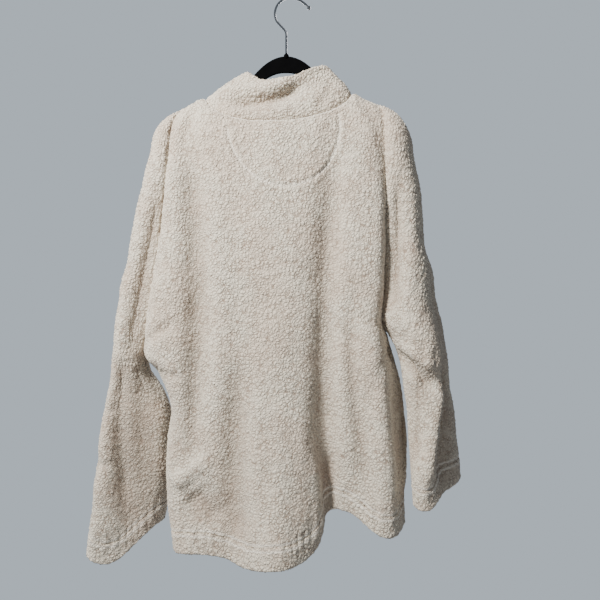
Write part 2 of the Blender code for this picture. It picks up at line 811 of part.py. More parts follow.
def garment(finish):
    surface = Surface()
    grids = chest(surface)
    skirt(surface, grids)
    sleeves(surface, grids)
    collar(surface, grids)
    surface.finish()
    for piece in surface.pieces:
        double = piece.startswith(("hem", "cuff", "collar"))
        solid = thicken(surface, piece, DOUBLE_WALL if double else WALL)
        add_object(piece, solid, finish)
    surface.mesh.free()


def main():
    for old in list(bpy.data.objects):
        bpy.data.objects.remove(old)
    fleece = material("fleece", (0.72, 0.66, 0.57), 0.95)
    velvet = material("velvet", (0.01, 0.01, 0.01), 0.9)
    chrome = material("chrome", (0.55, 0.55, 0.56), 0.2, metallic=1.0)
    garment(fleece)
    hanger(velvet)
    hook(chrome)


main()
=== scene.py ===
"""Looks of the sherpa fleece pullover on its velvet hanger, laid out as an add-on.

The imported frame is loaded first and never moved. The cloth is worked out again from the
sizes of the CAD solids, as one surface at a finer pitch, and gets its creases, its seams
and its curled pile. Every piece is then held against the box of the node it stands for.
"""

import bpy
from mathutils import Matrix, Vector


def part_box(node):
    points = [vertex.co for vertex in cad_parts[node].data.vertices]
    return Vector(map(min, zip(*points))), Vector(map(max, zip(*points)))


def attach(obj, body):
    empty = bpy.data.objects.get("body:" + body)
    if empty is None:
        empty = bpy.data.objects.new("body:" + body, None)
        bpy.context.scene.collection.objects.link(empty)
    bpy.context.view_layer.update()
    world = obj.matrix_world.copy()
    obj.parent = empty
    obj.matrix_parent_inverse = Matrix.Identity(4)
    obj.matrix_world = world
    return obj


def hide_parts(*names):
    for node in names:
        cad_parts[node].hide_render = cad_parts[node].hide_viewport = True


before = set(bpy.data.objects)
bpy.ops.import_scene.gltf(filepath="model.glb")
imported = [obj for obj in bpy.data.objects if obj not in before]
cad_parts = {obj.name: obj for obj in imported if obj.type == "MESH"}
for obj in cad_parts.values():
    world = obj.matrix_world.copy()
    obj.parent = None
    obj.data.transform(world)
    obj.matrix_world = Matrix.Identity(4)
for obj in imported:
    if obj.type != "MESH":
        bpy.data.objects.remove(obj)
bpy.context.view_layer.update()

import functools
from math import cos, pi, radians, sin, sqrt

import bmesh
import bpy
import numpy as np
from mathutils import Vector
from mathutils.kdtree import KDTree

bl_info = {
    "name": "Sherpa pullover",
    "version": (1, 0, 0),
    "blender": (4, 5, 0),
    "location": "View3D > Sidebar > Pullover",
    "description": "Fleece pullover with its stitching, on a velvet hanger",
    "category": "Object",
}

MM = 0.001

# ---------------------------------------------------------------- sizes of the cloth, mm

HEM_DEPTH = 35.0
EDGE_ROUND = {"back": 40.0, "front": 30.0}
SLIT_OPEN = 9.0

CHEST_Z = -275.0
LEFT_SIDE, RIGHT_SIDE = -1, 1
UNDERARM_Z = {LEFT_SIDE: -617.0, RIGHT_SIDE: -567.0}
SLIT_Z = {LEFT_SIDE: -852.0, RIGHT_SIDE: -808.0}
DROP_Z = {LEFT_SIDE: -492.0, RIGHT_SIDE: -457.0}

CAP_ROWS = 6
CHEST_ROWS = 12
SKIRT_ROWS = 12
TAIL_ROWS = 4
BAND_ROWS = 2
SLEEVE_ROWS = 16
COLLAR_ROWS = 8
ARM_COLUMNS = 8
SHOULDER_COLUMNS = 4
NECK_COLUMNS = {"back": 18, "front": 14}
SHOULDER_SHARE = 0.13
NECK_CROWDING = 0.6

RIDGE_COLUMNS = ("x", "z")
RIDGE = (
    (-204, -213),
    (-190, -201),
    (-176, -194),
    (-159, -184),
    (-150, -176),
    (107, -166),
    (121, -177),
    (138, -182),
    (157, -191),
    (170, -201),
    (182, -215),
)
NECK_LEFT, NECK_RIGHT = -150.0, 107.0
TROUGH_TOP = {LEFT_SIDE: -184.0, RIGHT_SIDE: 148.0}
ARM_TOP = {LEFT_SIDE: -204.0, RIGHT_SIDE: 182.0}
NECK_DROP = {"back": 56.0, "front": 80.0}
NECK_Y = {"back": -36.0, "front": 30.0}
NECK_DROP_POWER, NECK_DEPTH_POWER = 1.0, 0.6

SIDE_COLUMNS = ("z", "back_x", "front_x")
EDGES = {
    LEFT_SIDE: (
        (-275, -205, -205),
        (-360, -214, -214),
        (-450, -224, -224),
        (-530, -236, -236),
        (-617, -252, -252),
        (-642, -229, -226),
        (-672, -211, -200),
        (-710, -205, -186),
        (-780, -212, -182),
        (-852, -213, -182),
        (-950, -197, -184),
    ),
    RIGHT_SIDE: (
        (-275, 160, 162),
        (-360, 160, 164),
        (-450, 160, 164),
        (-530, 157, 160),
        (-567, 154, 155),
        (-596, 164, 168),
        (-672, 170, 194),
        (-767, 175, 206),
        (-831, 180, 204),
        (-906, 191, 192),
    ),
}
PANEL_COLUMNS = ("z", "back_y", "front_y")
PANELS = (
    (-275, -48, 31),
    (-400, -52, 35),
    (-560, -54, 38),
    (-750, -56, 40),
    (-950, -58, 38),
)
TROUGH_COLUMNS = ("z", "back", "front")
TROUGH = (
    (-275, 33, 20),
    (-350, 27, 17),
    (-430, 20, 15),
    (-500, 15, 14),
    (-560, 14, 14),
)
FOLD_COLUMNS = ("x_chest", "x_waist", "x_hem", "rise_chest", "rise_waist", "rise_hem", "width")
FOLD_HEIGHTS = (-300, -600, -940)
FOLDS = {
    "back": (
        (-168, -151, -168, -5, -13, -2, 17),
        (-90, -90, -98, 0, -3, -10, 22),
        (-30, -25, -20, 2, 7, 40, 64),
        (76, 60, 64, -6, -20, -46, 24),
        (100, 104, 106, 0, 0, -20, 26),
        (150, 150, 160, 2, 8, 8, 24),
    ),
    "front": (
        (-110, -118, -122, 0, 4, 9, 34),
        (-40, -30, -24, 0, -5, -9, 30),
        (40, 44, 52, 0, 4, 8, 34),
        (112, 120, 122, 0, -5, -9, 28),
    ),
}
HEM_COLUMNS = ("x", "back_z", "front_z")
HEM = (
    (-200, -954, -905),
    (-178, -943, -904),
    (-136, -943, -902),
    (-110, -949, -901),
    (-84, -960, -900),
    (-55, -958, -899),
    (-22, -951, -897),
    (11, -950, -895),
    (36, -943, -893),
    (51, -930, -891),
    (64, -897, -890),
    (80, -882, -888),
    (94, -878, -886),
    (113, -884, -883),
    (129, -896, -880),
    (145, -910, -877),
    (171, -917, -871),
    (195, -914, -863),
)
ARM_TABLE_COLUMNS = (
    "z", "outer_x", "outer_y", "inner_x", "inner_y", "back_bulge", "front_bulge", "skew",
)
ARMS = {
    LEFT_SIDE: (
        (-275, -241, 0, -205, 0, 24, 16, 0.70),
        (-364, -263, 0, -214, 0, 27, 19, 0.65),
        (-475, -281, 0, -228, 0, 31, 22, 0.60),
        (-498, -290, 0, -232, 0, 33, 23, 0.60),
        (-617, -303, 0, -252, 0, 37, 24, 0.58),
        (-642, -307, 1, -256, 3, 38, 24, 0.56),
        (-680, -313, 1, -236, 12, 42, 22, 0.50),
        (-738, -322, 1, -217, 22, 46, 19, 0.46),
        (-824, -333, 2, -219, 28, 46, 17, 0.45),
        (-895, -341, 2, -230, 33, 43, 16, 0.45),
        (-965, -349, 2, -246, 37, 40, 15, 0.45),
    ),
    RIGHT_SIDE: (
        (-275, 213, 0, 160, 0, 28, 18, 0.90),
        (-350, 225, 0, 160, 0, 31, 20, 0.95),
        (-442, 235, 0, 160, 0, 36, 22, 1.00),
        (-462, 244, 0, 159, 0, 38, 22, 1.00),
        (-520, 253, 0, 157, 0, 44, 23, 1.15),
        (-567, 262, 0, 154, 0, 48, 24, 1.25),
        (-590, 266, 1, 181, -9, 44, 24, 1.20),
        (-655, 275, 3, 196, -27, 36, 22, 1.10),
        (-738, 287, 5, 203, -36, 26, 20, 1.00),
        (-824, 297, 7, 209, -42, 22, 19, 1.00),
        (-870, 301, 8, 211, -44, 22, 19, 1.00),
    ),
}
CUFF_COLUMNS = ("across", LEFT_SIDE, RIGHT_SIDE)
CUFF = (
    (0.0, -957, -839),
    (0.2, -970, -842),
    (0.35, -977, -845),
    (0.5, -975, -848),
    (0.65, -962, -860),
    (0.8, -943, -871),
    (1.0, -926, -869),
)
LEDGE_RISE = 20.0
LEDGE_INNER_Z, LEDGE_OUTER_Z = -575.0, -668.0
LEDGE_SOFTNESS = 26.0
LEDGE_TOP_FADE = 120.0

COLLAR_TOP_X, COLLAR_TOP_HALF = -4.0, 71.0
COLLAR_TOP_Y = {"back": -27.0, "front": 22.0}
COLLAR_EDGE_COLUMNS = ("turn", "z")
COLLAR_EDGE = (
    (0.00, -131),
    (0.07, -138),
    (0.16, -155),
    (0.24, -152),
    (0.34, -132),
    (0.43, -124),
    (0.50, -130),
    (0.60, -160),
    (0.75, -188),
    (0.90, -162),
    (1.00, -131),
)
COLLAR_SQUARENESS = 0.6
COLLAR_SWELL = 5.0
COLLAR_CREASE = 9.0

# Creases pressed into or standing off the surface: a bent path from one end through a
# middle point to the other, seen from the side named. A positive rise stands out.
CREASE_COLUMNS = ("side", "x0", "z0", "x1", "z1", "x2", "z2", "rise", "width")
CREASES = (
    # body, left of the middle
    ("back", -174, -262, -152, -500, -170, -815, -9.0, 20),
    ("back", -196, -300, -226, -470, -246, -606, 8.0, 14),
    ("back", -246, -606, -226, -650, -208, -700, 5.0, 10),
    ("back", -246, -604, -215, -578, -188, -566, -4.0, 8),
    ("back", -236, -632, -204, -650, -176, -648, -4.0, 9),
    ("back", -205, -700, -190, -770, -186, -828, -4.0, 12),
    ("back", -192, -832, -168, -812, -132, -786, 8.0, 15),
    ("back", -164, -842, -142, -866, -114, -896, -9.0, 24),
    ("back", -84, -620, -88, -800, -84, -948, -10.0, 20),
    ("back", -40, -640, -34, -760, -48, -880, -2.5, 14),
    ("back", 14, -700, 24, -820, 20, -930, 3.0, 12),
    ("back", -120, -420, -112, -560, -120, -700, 2.5, 22),
    ("back", -150, -205, -172, -236, -184, -300, -3.0, 10),
    # body, right of the middle
    ("back", 82, -290, 60, -560, 60, -905, -8.0, 26),
    ("back", 92, -280, 80, -520, 88, -780, 4.0, 18),
    ("back", 36, -760, 42, -860, 40, -940, 7.0, 10),
    ("back", 62, -780, 64, -840, 66, -905, -6.0, 11),
    ("back", 99, -530, 106, -690, 138, -862, -7.0, 12),
    ("back", 128, -560, 150, -720, 166, -890, 8.0, 15),
    ("back", 150, -578, 128, -560, 104, -548, -3.0, 8),
    ("back", 158, -622, 140, -650, 136, -720, -3.0, 10),
    ("back", 116, -195, 142, -230, 152, -300, -3.0, 10),
    ("back", 146, -320, 148, -440, 144, -560, 4.0, 12),
    # left arm and sleeve
    ("back", -212, -330, -242, -480, -268, -625, -13.0, 15),
    ("back", -262, -330, -276, -420, -290, -520, 3.0, 9),
    ("back", -283, -622, -286, -740, -274, -938, -15.0, 18),
    ("back", -256, -640, -248, -760, -254, -920, -15.0, 24),
    ("back", -322, -690, -312, -712, -296, -704, -3.0, 7),
    ("back", -330, -780, -318, -802, -300, -796, -2.5, 7),
    ("back", -316, -820, -322, -880, -328, -945, 3.0, 12),
    # right arm and sleeve
    ("back", 178, -320, 176, -440, 166, -556, -12.0, 12),
    ("back", 196, -300, 204, -400, 196, -500, 3.0, 11),
    ("back", 236, -330, 250, -500, 262, -640, -6.0, 14),
    ("back", 160, -580, 200, -612, 246, -648, 8.0, 9),
    ("back", 166, -602, 202, -642, 238, -676, -15.0, 11),
    ("back", 250, -652, 232, -740, 214, -862, 13.0, 12),
    ("back", 205, -656, 206, -720, 200, -800, -9.0, 12),
    ("back", 274, -600, 262, -735, 254, -850, -16.0, 19),
    # collar
    ("collar", -112, -190, -40, -190, 22, -160, -8.0, 10),
    ("collar", -98, -164, -40, -172, 6, -150, 4.0, 9),
    ("collar", 36, -204, 62, -178, 70, -150, -3.0, 9),
    # front, plainer
    ("front", -150, -420, -140, -600, -146, -820, -4.0, 12),
    ("front", 60, -480, 74, -640, 70, -860, -4.0, 12),
    ("front", -60, -560, -66, -700, -58, -880, 3.5, 16),
    ("front", -232, -640, -200, -620, -170, -600, -4.0, 10),
    ("front", 160, -590, 130, -570, 100, -562, -4.0, 10),
    ("front", -300, -640, -296, -760, -300, -930, -4.0, 12),
    ("front", 250, -560, 262, -680, 270, -820, -4.0, 12),
    ("front", 0, -270, 4, -330, -2, -420, -3.0, 14),
)

# The stitched half-moon below the back of the neck, a leaning half ellipse
MOON_X, MOON_Z = -12.0, -229.0
MOON_HALF, MOON_DEEP = 94.0, 110.0
MOON_LEAN = radians(8.5)
MOON_STEPS = 160
MOON_GROOVE, MOON_GROOVE_HALF = 2.2, 2.4
MOON_SWELL, MOON_SWELL_AT, MOON_SWELL_HALF = 1.0, 7.0, 4.0
MOON_MARGIN, MOON_FACING = 12, -0.3  # only points this near and facing back are measured

SEAM_GROOVE, SEAM_GROOVE_HALF = 0.9, 3.2
SEAM_FLAT = 4.0  # the pile is pressed flat this close to a seam
INNER_PILE = 0.3  # share of the pile's height on the inside of the cloth
STITCH_INSET, STITCH_HALF = 4.5, 1.5  # a stitched line's distance from its seam, and reach
STITCH_PRESS = 0.6  # share of the pile's height that a stitched line takes away
NECK_GROOVE, NECK_GROOVE_HALF = 1.3, 2.6
FAR = 1000.0  # stands for too far to matter
CREASE_REACH = 3  # widths of a crease beyond which it does nothing
CREASE_FACING = 2.2  # how soon a crease comes in as the cloth turns to face its side
CREASE_ENDS = 0.15  # share of a crease's height that is left at its ends
BEND_STEPS = 160
FULL_SHADE_DEPTH = 11.0  # a crease this deep gets its full painted shade
ROLL = 1.4  # height of the cloth's slow unevenness
PUCKER, PUCKER_REACH = 1.0, 14.0  # height of the gathers at a band, and their reach
THIN_EDGE = 0.35  # share of the half wall that is left at a free edge
NODE_ROOM = 0.012  # how far a piece may stand past its node, in metres
CLOTH_CREST = radians(80)  # sharper edges than this show


# ---------------------------------------------------------------- settings


class FleeceSettings(bpy.types.PropertyGroup):
    """Sizes and colours of the fleece."""

    wall: bpy.props.FloatProperty(
        name="Wall", description="Thickness of the fleece with its pile",
        default=0.005, subtype="DISTANCE", unit="LENGTH",
    )
    double_wall: bpy.props.FloatProperty(
        name="Double wall", description="Thickness of hems, cuffs and collar, two layers",
        default=0.0075, subtype="DISTANCE", unit="LENGTH",
    )
    clump: bpy.props.FloatProperty(
        name="Clump", description="Width of one curled clump of the pile",
        default=0.0056, subtype="DISTANCE", unit="LENGTH",
    )
    pile: bpy.props.FloatProperty(
        name="Pile", description="Height of the clumps above the crevices between them",
        default=0.0015, subtype="DISTANCE", unit="LENGTH",
    )
    cream: bpy.props.FloatVectorProperty(
        name="Cream", description="Colour of the tops of the clumps",
        default=(0.78, 0.72, 0.60), size=3, subtype="COLOR", min=0, max=1,
    )
    beige: bpy.props.FloatVectorProperty(
        name="Beige", description="Colour of the pinker, denser patches",
        default=(0.70, 0.60, 0.49), size=3, subtype="COLOR", min=0, max=1,
    )
    # painted shade: the colour put down between the clumps and in the troughs of deep creases
    crevice_shade: bpy.props.FloatVectorProperty(
        name="Crevice", description="Colour down between the clumps",
        default=(0.29, 0.215, 0.165), size=3, subtype="COLOR", min=0, max=1,
    )


class HangerSettings(bpy.types.PropertyGroup):
    """The colour of the hanger's velvet."""

    velvet: bpy.props.FloatVectorProperty(
        name="Velvet", description="Colour of the flocked velvet",
        default=(0.0012, 0.0012, 0.0014), size=3, subtype="COLOR", min=0, max=1,
    )


class StageSettings(bpy.types.PropertyGroup):
    """The floor, the light and the camera."""

    floor: bpy.props.FloatVectorProperty(
        name="Floor", description="Colour of the floor",
        default=(0.72, 0.73, 0.74), size=3, subtype="COLOR", min=0, max=1,
    )
    air: bpy.props.FloatVectorProperty(
        name="Air", description="Colour of the light all round",
        default=(0.60, 0.68, 0.76), size=3, subtype="COLOR", min=0, max=1,
    )
    camera_distance: bpy.props.FloatProperty(
        name="Camera distance", description="From the camera to the hanger",
        default=0.88, subtype="DISTANCE", unit="LENGTH",
    )
    view_width: bpy.props.FloatProperty(
        name="View width", description="What the camera sees across at the hanger",
        default=1.05, subtype="DISTANCE", unit="LENGTH",
    )


# ---------------------------------------------------------------- curves and tables


def steady(points, at):
    """The value at `at` on a smooth curve through (position, value) points."""
    if at <= points[0][0]:
        return float(points[0][1])
    if at >= points[-1][0]:
        return float(points[-1][1])
    k = max(i for i, p in enumerate(points[:-1]) if p[0] <= at)
    (x0, y0), (x1, y1) = points[k], points[k + 1]

    def slope(i):
        if i <= 0 or i >= len(points) - 1:
            return (y1 - y0) / (x1 - x0)
        before = (points[i][1] - points[i - 1][1]) / (points[i][0] - points[i - 1][0])
        after = (points[i + 1][1] - points[i][1]) / (points[i + 1][0] - points[i][0])
        if before * after <= 0:
            return 0.0
        return 2 * before * after / (before + after)

    length = x1 - x0
    t = (at - x0) / length
    return (
        y0 * (1 + 2 * t) * (1 - t) ** 2
        + y1 * t * t * (3 - 2 * t)
        + slope(k) * length * t * (1 - t) ** 2
        - slope(k + 1) * length * t * t * (1 - t)
    )


@functools.lru_cache(maxsize=None)
def curve_of(table, columns, name):
    k = columns.index(name)
    return tuple(sorted((row[0], row[k]) for row in table))


def read(table, columns, name, at):
    """A named column of a table, at a place between its rows."""
    return steady(curve_of(table, columns, name), at)


def mix(a, b, t):
    return a + (b - a) * t


def ease(t):
    t = min(max(t, 0.0), 1.0)
    return t * t * (3 - 2 * t)


def round_over(distance, radius):
    s = min(max(distance / radius, 0.0), 1.0)
    return sqrt(1 - (1 - s) ** 2)


def fold_rise(face, x, z):
    rise = 0.0
    for row in FOLDS[face]:
        fold = dict(zip(FOLD_COLUMNS, row))
        xs = (fold["x_hem"], fold["x_waist"], fold["x_chest"])
        rises = (fold["rise_hem"], fold["rise_waist"], fold["rise_chest"])
        heights = FOLD_HEIGHTS[::-1]
        centre = steady(tuple(zip(heights, xs)), z)
        height = steady(tuple(zip(heights, rises)), z)
        rise += height / (1 + ((x - centre) / fold["width"]) ** 2) ** 2
    return rise


# ---------------------------------------------------------------- the cloth's surface


def ridge_z(x):
    return read(RIDGE, RIDGE_COLUMNS, "z", x)


def body_point(face, across, z):
    """A point of the back or front panel, `across` from 0 at its left side to 1."""
    left = read(EDGES[LEFT_SIDE], SIDE_COLUMNS, face + "_x", z)
    right = read(EDGES[RIGHT_SIDE], SIDE_COLUMNS, face + "_x", z)
    x = mix(left, right, across)
    full = abs(read(PANELS, PANEL_COLUMNS, face + "_y", z)) + fold_rise(face, x, z)
    turned = round_over(min(x - left, right - x), EDGE_ROUND[face])
    out = -1 if face == "back" else 1
    edge = read(TROUGH, TROUGH_COLUMNS, face, z)
    return Vector((x, out * mix(edge, full, turned), z))


def side_point(side, z, open_by=0.0):
    """The side seam. Below the slit each panel has its own edge."""
    back = read(EDGES[side], SIDE_COLUMNS, "back_x", z)
    front = read(EDGES[side], SIDE_COLUMNS, "front_x", z)
    return Vector(((back + front) / 2 + 4 * side, open_by, z))


def neck_point(face, x):
    middle, half = (NECK_LEFT + NECK_RIGHT) / 2, (NECK_RIGHT - NECK_LEFT) / 2
    along = min(max((x - middle) / half, -1.0), 1.0)
    swing = sqrt(max(1 - along * along, 0.0))
    side_z = mix(ridge_z(NECK_LEFT), ridge_z(NECK_RIGHT), (along + 1) / 2)
    drop = NECK_DROP[face] * swing**NECK_DROP_POWER
    return Vector((x, NECK_Y[face] * swing**NECK_DEPTH_POWER, side_z - drop))


def shoulder_steps():
    return [(k / SHOULDER_COLUMNS) ** 1.25 for k in range(SHOULDER_COLUMNS + 1)]


def body_columns(face):
    """(x at the top, share of the width at chest height) for each column of a panel."""
    shoulder = [
        (mix(TROUGH_TOP[LEFT_SIDE], NECK_LEFT, s), SHOULDER_SHARE * s)
        for s in shoulder_steps()
    ]
    neck = []
    for k in range(1, NECK_COLUMNS[face]):
        even = k / NECK_COLUMNS[face]
        crowded = mix(even, (1 - cos(pi * even)) / 2, NECK_CROWDING)
        share = mix(SHOULDER_SHARE, 1 - SHOULDER_SHARE, even)
        neck.append((mix(NECK_LEFT, NECK_RIGHT, crowded), share))
    far_shoulder = [
        (mix(TROUGH_TOP[RIGHT_SIDE], NECK_RIGHT, s), 1 - SHOULDER_SHARE * s)
        for s in reversed(shoulder_steps())
    ]
    return shoulder + neck + far_shoulder


def arm_line(side, z):
    return {
        name: read(ARMS[side], ARM_TABLE_COLUMNS, name, z) for name in ARM_TABLE_COLUMNS[1:]
    }


def ledge(across, z):
    """The right sleeve's elbow fold stands out above its edge and drops back below it."""
    edge = mix(LEDGE_OUTER_Z, LEDGE_INNER_Z, across)
    above = (z - edge) / LEDGE_SOFTNESS + 0.5
    fade = 1 - ease((z - edge - LEDGE_SOFTNESS) / LEDGE_TOP_FADE)
    return LEDGE_RISE * ease(above) * fade * sin(pi * min(across * 0.8 + 0.2, 1.0))


def arm_point(side, face, across, z):
    """A point of an arm, `across` from 0 on its outside to 1 beside the body."""
    arm = arm_line(side, z)
    skewed = across ** arm["skew"] if face == "back" else across
    swell = 2 * sqrt(max(skewed * (1 - skewed), 0.0))
    x = mix(arm["outer_x"], arm["inner_x"], across)
    middle = mix(arm["outer_y"], arm["inner_y"], across)
    rise = arm[face + "_bulge"] * swell + read(TROUGH, TROUGH_COLUMNS, face, z) * across
    if face == "front":
        return Vector((x, middle + rise, z))
    if side == RIGHT_SIDE:
        rise += ledge(across, z)
    return Vector((x, middle - rise, z))


def inner_arm_point(side, z):
    arm = arm_line(side, z)
    return Vector((arm["inner_x"] - 4 * side, arm["inner_y"], z))


def arm_shares():
    return [(1 - cos(pi * k / ARM_COLUMNS)) / 2 for k in range(ARM_COLUMNS + 1)]


def armhole_z(side, across):
    return mix(DROP_Z[side], UNDERARM_Z[side], ease(across))


class Surface:
    """Points shared between the pieces, and each piece's faces."""

    def __init__(self):
        self.places = []
        self.index = {}
        self.faces = []
        self.owners = []
        self.names = []

    def point(self, key, place):
        if key not in self.index:
            self.index[key] = len(self.places)
            self.places.append(place)
        return self.index[key]

    def patch(self, piece, grid):
        """Quads of a grid of points, given as rows."""
        if piece not in self.names:
            self.names.append(piece)
        owner = self.names.index(piece)
        for upper, lower in zip(grid, grid[1:]):
            for corners in zip(upper, upper[1:], lower[1:], lower):
                self.faces.append(corners)
                self.owners.append(owner)


def capped_rows(top, low, place_at):
    """A column from its top point, rounded over to chest height, then down to `low`."""
    reference = place_at(CHEST_Z)
    column = []
    for k in range(CAP_ROWS):
        turn = pi / 2 * k / CAP_ROWS
        flat = Vector((reference.x - top.x, reference.y - top.y, 0)) * sin(turn)
        column.append(top + flat + Vector((0, 0, (reference.z - top.z) * (1 - cos(turn)))))
    return column + [
        place_at(mix(CHEST_Z, low, k / CHEST_ROWS)) for k in range(CHEST_ROWS + 1)
    ]


def chest(surface):
    """The front and back from the shoulders to the underarms, with the tops of the arms."""
    grids = {}
    for face in ("back", "front"):
        columns = []
        for number, (top_x, share) in enumerate(body_columns(face)):
            on_neck = NECK_LEFT <= top_x <= NECK_RIGHT
            top = neck_point(face, top_x) if on_neck else Vector((top_x, 0, ridge_z(top_x)))
            low = mix(UNDERARM_Z[LEFT_SIDE], UNDERARM_Z[RIGHT_SIDE], share)
            places = capped_rows(top, low, lambda z, s=share: body_point(face, s, z))
            keys = [(face, "body", number, row) for row in range(len(places))]
            if top_x <= NECK_LEFT or top_x >= NECK_RIGHT:
                keys[0] = ("ridge", round(top_x, 3))
            columns.append([surface.point(k, p) for k, p in zip(keys, places)])
        grids[face] = columns
        surface.patch(face, list(zip(*columns)))
    for side in (LEFT_SIDE, RIGHT_SIDE):
        for face in ("back", "front"):
            columns = []
            for number, share in enumerate(arm_shares()[:-1]):
                top_x = mix(ARM_TOP[side], TROUGH_TOP[side], share)
                top = Vector((top_x, 0, ridge_z(top_x)))
                low = armhole_z(side, share)
                places = capped_rows(
                    top, low, lambda z, s=share: arm_point(side, face, s, z)
                )
                name = "outer" if number == 0 else face
                keys = [(name, side, number, row) for row in range(len(places))]
                keys[0] = ("ridge", round(top_x, 3))
                columns.append([surface.point(k, p) for k, p in zip(keys, places)])
            columns.append(grids[face][0 if side == LEFT_SIDE else -1])
            grids[face, side] = columns
            surface.patch(face, list(zip(*columns)))
    return grids


def hem_z(face, share):
    x = mix(HEM[0][0], HEM[-1][0], share)
    return read(HEM, HEM_COLUMNS, face + "_z", x)


def tail_heights(slit, hem):
    stitching = hem + HEM_DEPTH
    tail = [mix(slit, stitching, k / TAIL_ROWS) for k in range(1, TAIL_ROWS + 1)]
    return tail + [mix(stitching, hem, k / BAND_ROWS) for k in range(1, BAND_ROWS + 1)]


def side_column(surface, face, side):
    under, slit = UNDERARM_Z[side], SLIT_Z[side]
    under_x = read(EDGES[side], SIDE_COLUMNS, "back_x", under)
    column = [surface.point(("underarm", side), Vector((under_x, 0, under)))]
    for k in range(1, SKIRT_ROWS + 1):
        place = side_point(side, mix(under, slit, k / SKIRT_ROWS))
        column.append(surface.point(("side", side, k), place))
    hem = hem_z(face, 0.0 if side == LEFT_SIDE else 1.0)
    out = -1 if face == "back" else 1
    for k, z in enumerate(tail_heights(slit, hem)):
        place = side_point(side, z, out * SLIT_OPEN * ease((slit - z) / 40.0))
        column.append(surface.point((face, "slit", side, k), place))
    return column


def skirt(surface, grids):
    """The body below the arms, its side seams, its slits and its turned hems."""
    for face in ("back", "front"):
        columns = [side_column(surface, face, LEFT_SIDE)]
        for number, (_, share) in enumerate(body_columns(face)):
            under = mix(UNDERARM_Z[LEFT_SIDE], UNDERARM_Z[RIGHT_SIDE], share)
            slit = mix(SLIT_Z[LEFT_SIDE], SLIT_Z[RIGHT_SIDE], share)
            heights = [mix(under, slit, k / SKIRT_ROWS) for k in range(1, SKIRT_ROWS + 1)]
            heights += tail_heights(slit, hem_z(face, share))
            column = [grids[face][number][-1]]
            for row, z in enumerate(heights):
                key = (face, "skirt", number, row)
                column.append(surface.point(key, body_point(face, share, z)))
            columns.append(column)
        columns.append(side_column(surface, face, RIGHT_SIDE))
        rows = list(zip(*columns))
        band = len(rows) - 1 - BAND_ROWS
        surface.patch(face, rows[: band + 1])
        surface.patch("hem_" + face, rows[band:])


def sleeve_heights(seam, cuff):
    stitching = cuff + HEM_DEPTH
    down = [mix(seam, stitching, k / SLEEVE_ROWS) for k in range(1, SLEEVE_ROWS + 1)]
    return down + [mix(stitching, cuff, k / BAND_ROWS) for k in range(1, BAND_ROWS + 1)]


def sleeves(surface, grids):
    for side, name in ((LEFT_SIDE, "left"), (RIGHT_SIDE, "right")):
        ring = []
        for face in ("back", "front"):
            columns = []
            for number, share in enumerate(arm_shares()):
                cuff = read(CUFF, CUFF_COLUMNS, side, share)
                heights = sleeve_heights(armhole_z(side, share), cuff)
                label = "outer" if number == 0 else face
                column = [grids[face, side][number][-1]]
                for row, z in enumerate(heights):
                    key = ("sleeve", label, side, number, row)
                    column.append(surface.point(key, arm_point(side, face, share, z)))
                columns.append(column)
            ring += columns[::-1] if face == "back" else columns[1:]
        seam = [surface.index["underarm", side]]
        heights = sleeve_heights(UNDERARM_Z[side], read(CUFF, CUFF_COLUMNS, side, 1.0))
        for row, z in enumerate(heights):
            seam.append(surface.point(("sleeve", "seam", side, row), inner_arm_point(side, z)))
        rows = list(zip(seam, *ring, seam))
        cuff_row = len(rows) - 1 - BAND_ROWS
        surface.patch("sleeve_" + name, rows[: cuff_row + 1])
        surface.patch("cuff_" + name, rows[cuff_row:])


def neck_tops(surface, columns):
    tops = [column[0] for column in columns]
    return [
        t for t in tops if NECK_LEFT - 0.01 <= surface.places[t].x <= NECK_RIGHT + 0.01
    ]


def collar(surface, grids):
    """A funnel collar on the neck seam, slumped at the back."""
    back = neck_tops(surface, grids["back"])
    front = neck_tops(surface, grids["front"])
    base = back + front[::-1][1:-1]
    turns = [k / (len(back) - 1) / 2 for k in range(len(back))]
    turns += [0.5 + k / (len(front) - 1) / 2 for k in range(1, len(front) - 1)]
    rows = [base]
    for row in range(1, COLLAR_ROWS + 1):
        up = row / COLLAR_ROWS
        ring = []
        for number, (turn, foot) in enumerate(zip(turns, base)):
            angle = 2 * pi * turn
            depth = COLLAR_TOP_Y["back" if turn <= 0.5 else "front"]
            rim = Vector((
                COLLAR_TOP_X - COLLAR_TOP_HALF * cos(angle),
                depth * abs(sin(angle)) ** COLLAR_SQUARENESS,
                read(COLLAR_EDGE, COLLAR_EDGE_COLUMNS, "z", turn),
            ))
            place = surface.places[foot].lerp(rim, up)
            outwards = Vector((-cos(angle), -sin(angle), 0))
            crease_at = 0.30 + 0.55 * turn / 0.5
            crease = COLLAR_CREASE * max(0.0, 1 - ((up - crease_at) / 0.3) ** 2)
            crease *= ease(sin(angle) * 1.4) if turn <= 0.5 else 0.0
            place = place + outwards * (COLLAR_SWELL * sin(pi * up) - crease)
            ring.append(surface.point(("collar", number, row), place))
        rows.append(ring)
    surface.patch("collar", [[*row, row[0]] for row in rows])


# ---------------------------------------------------------------- finer cloth


def normals_of(places, faces):
    """Outward unit normals at the points of a quad mesh."""
    diagonal = np.cross(
        places[faces[:, 2]] - places[faces[:, 0]], places[faces[:, 3]] - places[faces[:, 1]]
    )
    found = np.zeros_like(places)
    for corner in range(4):
        np.add.at(found, faces[:, corner], diagonal)
    return found / np.maximum(np.linalg.norm(found, axis=1, keepdims=True), 1e-12)


def edges_of(faces):
    """Each edge once, and the number of the edge after each corner of each face."""
    pairs = np.stack([faces, np.roll(faces, -1, axis=1)], axis=2).reshape(-1, 2)
    edges, number = np.unique(np.sort(pairs, axis=1), axis=0, return_inverse=True)
    return edges, number.reshape(faces.shape)


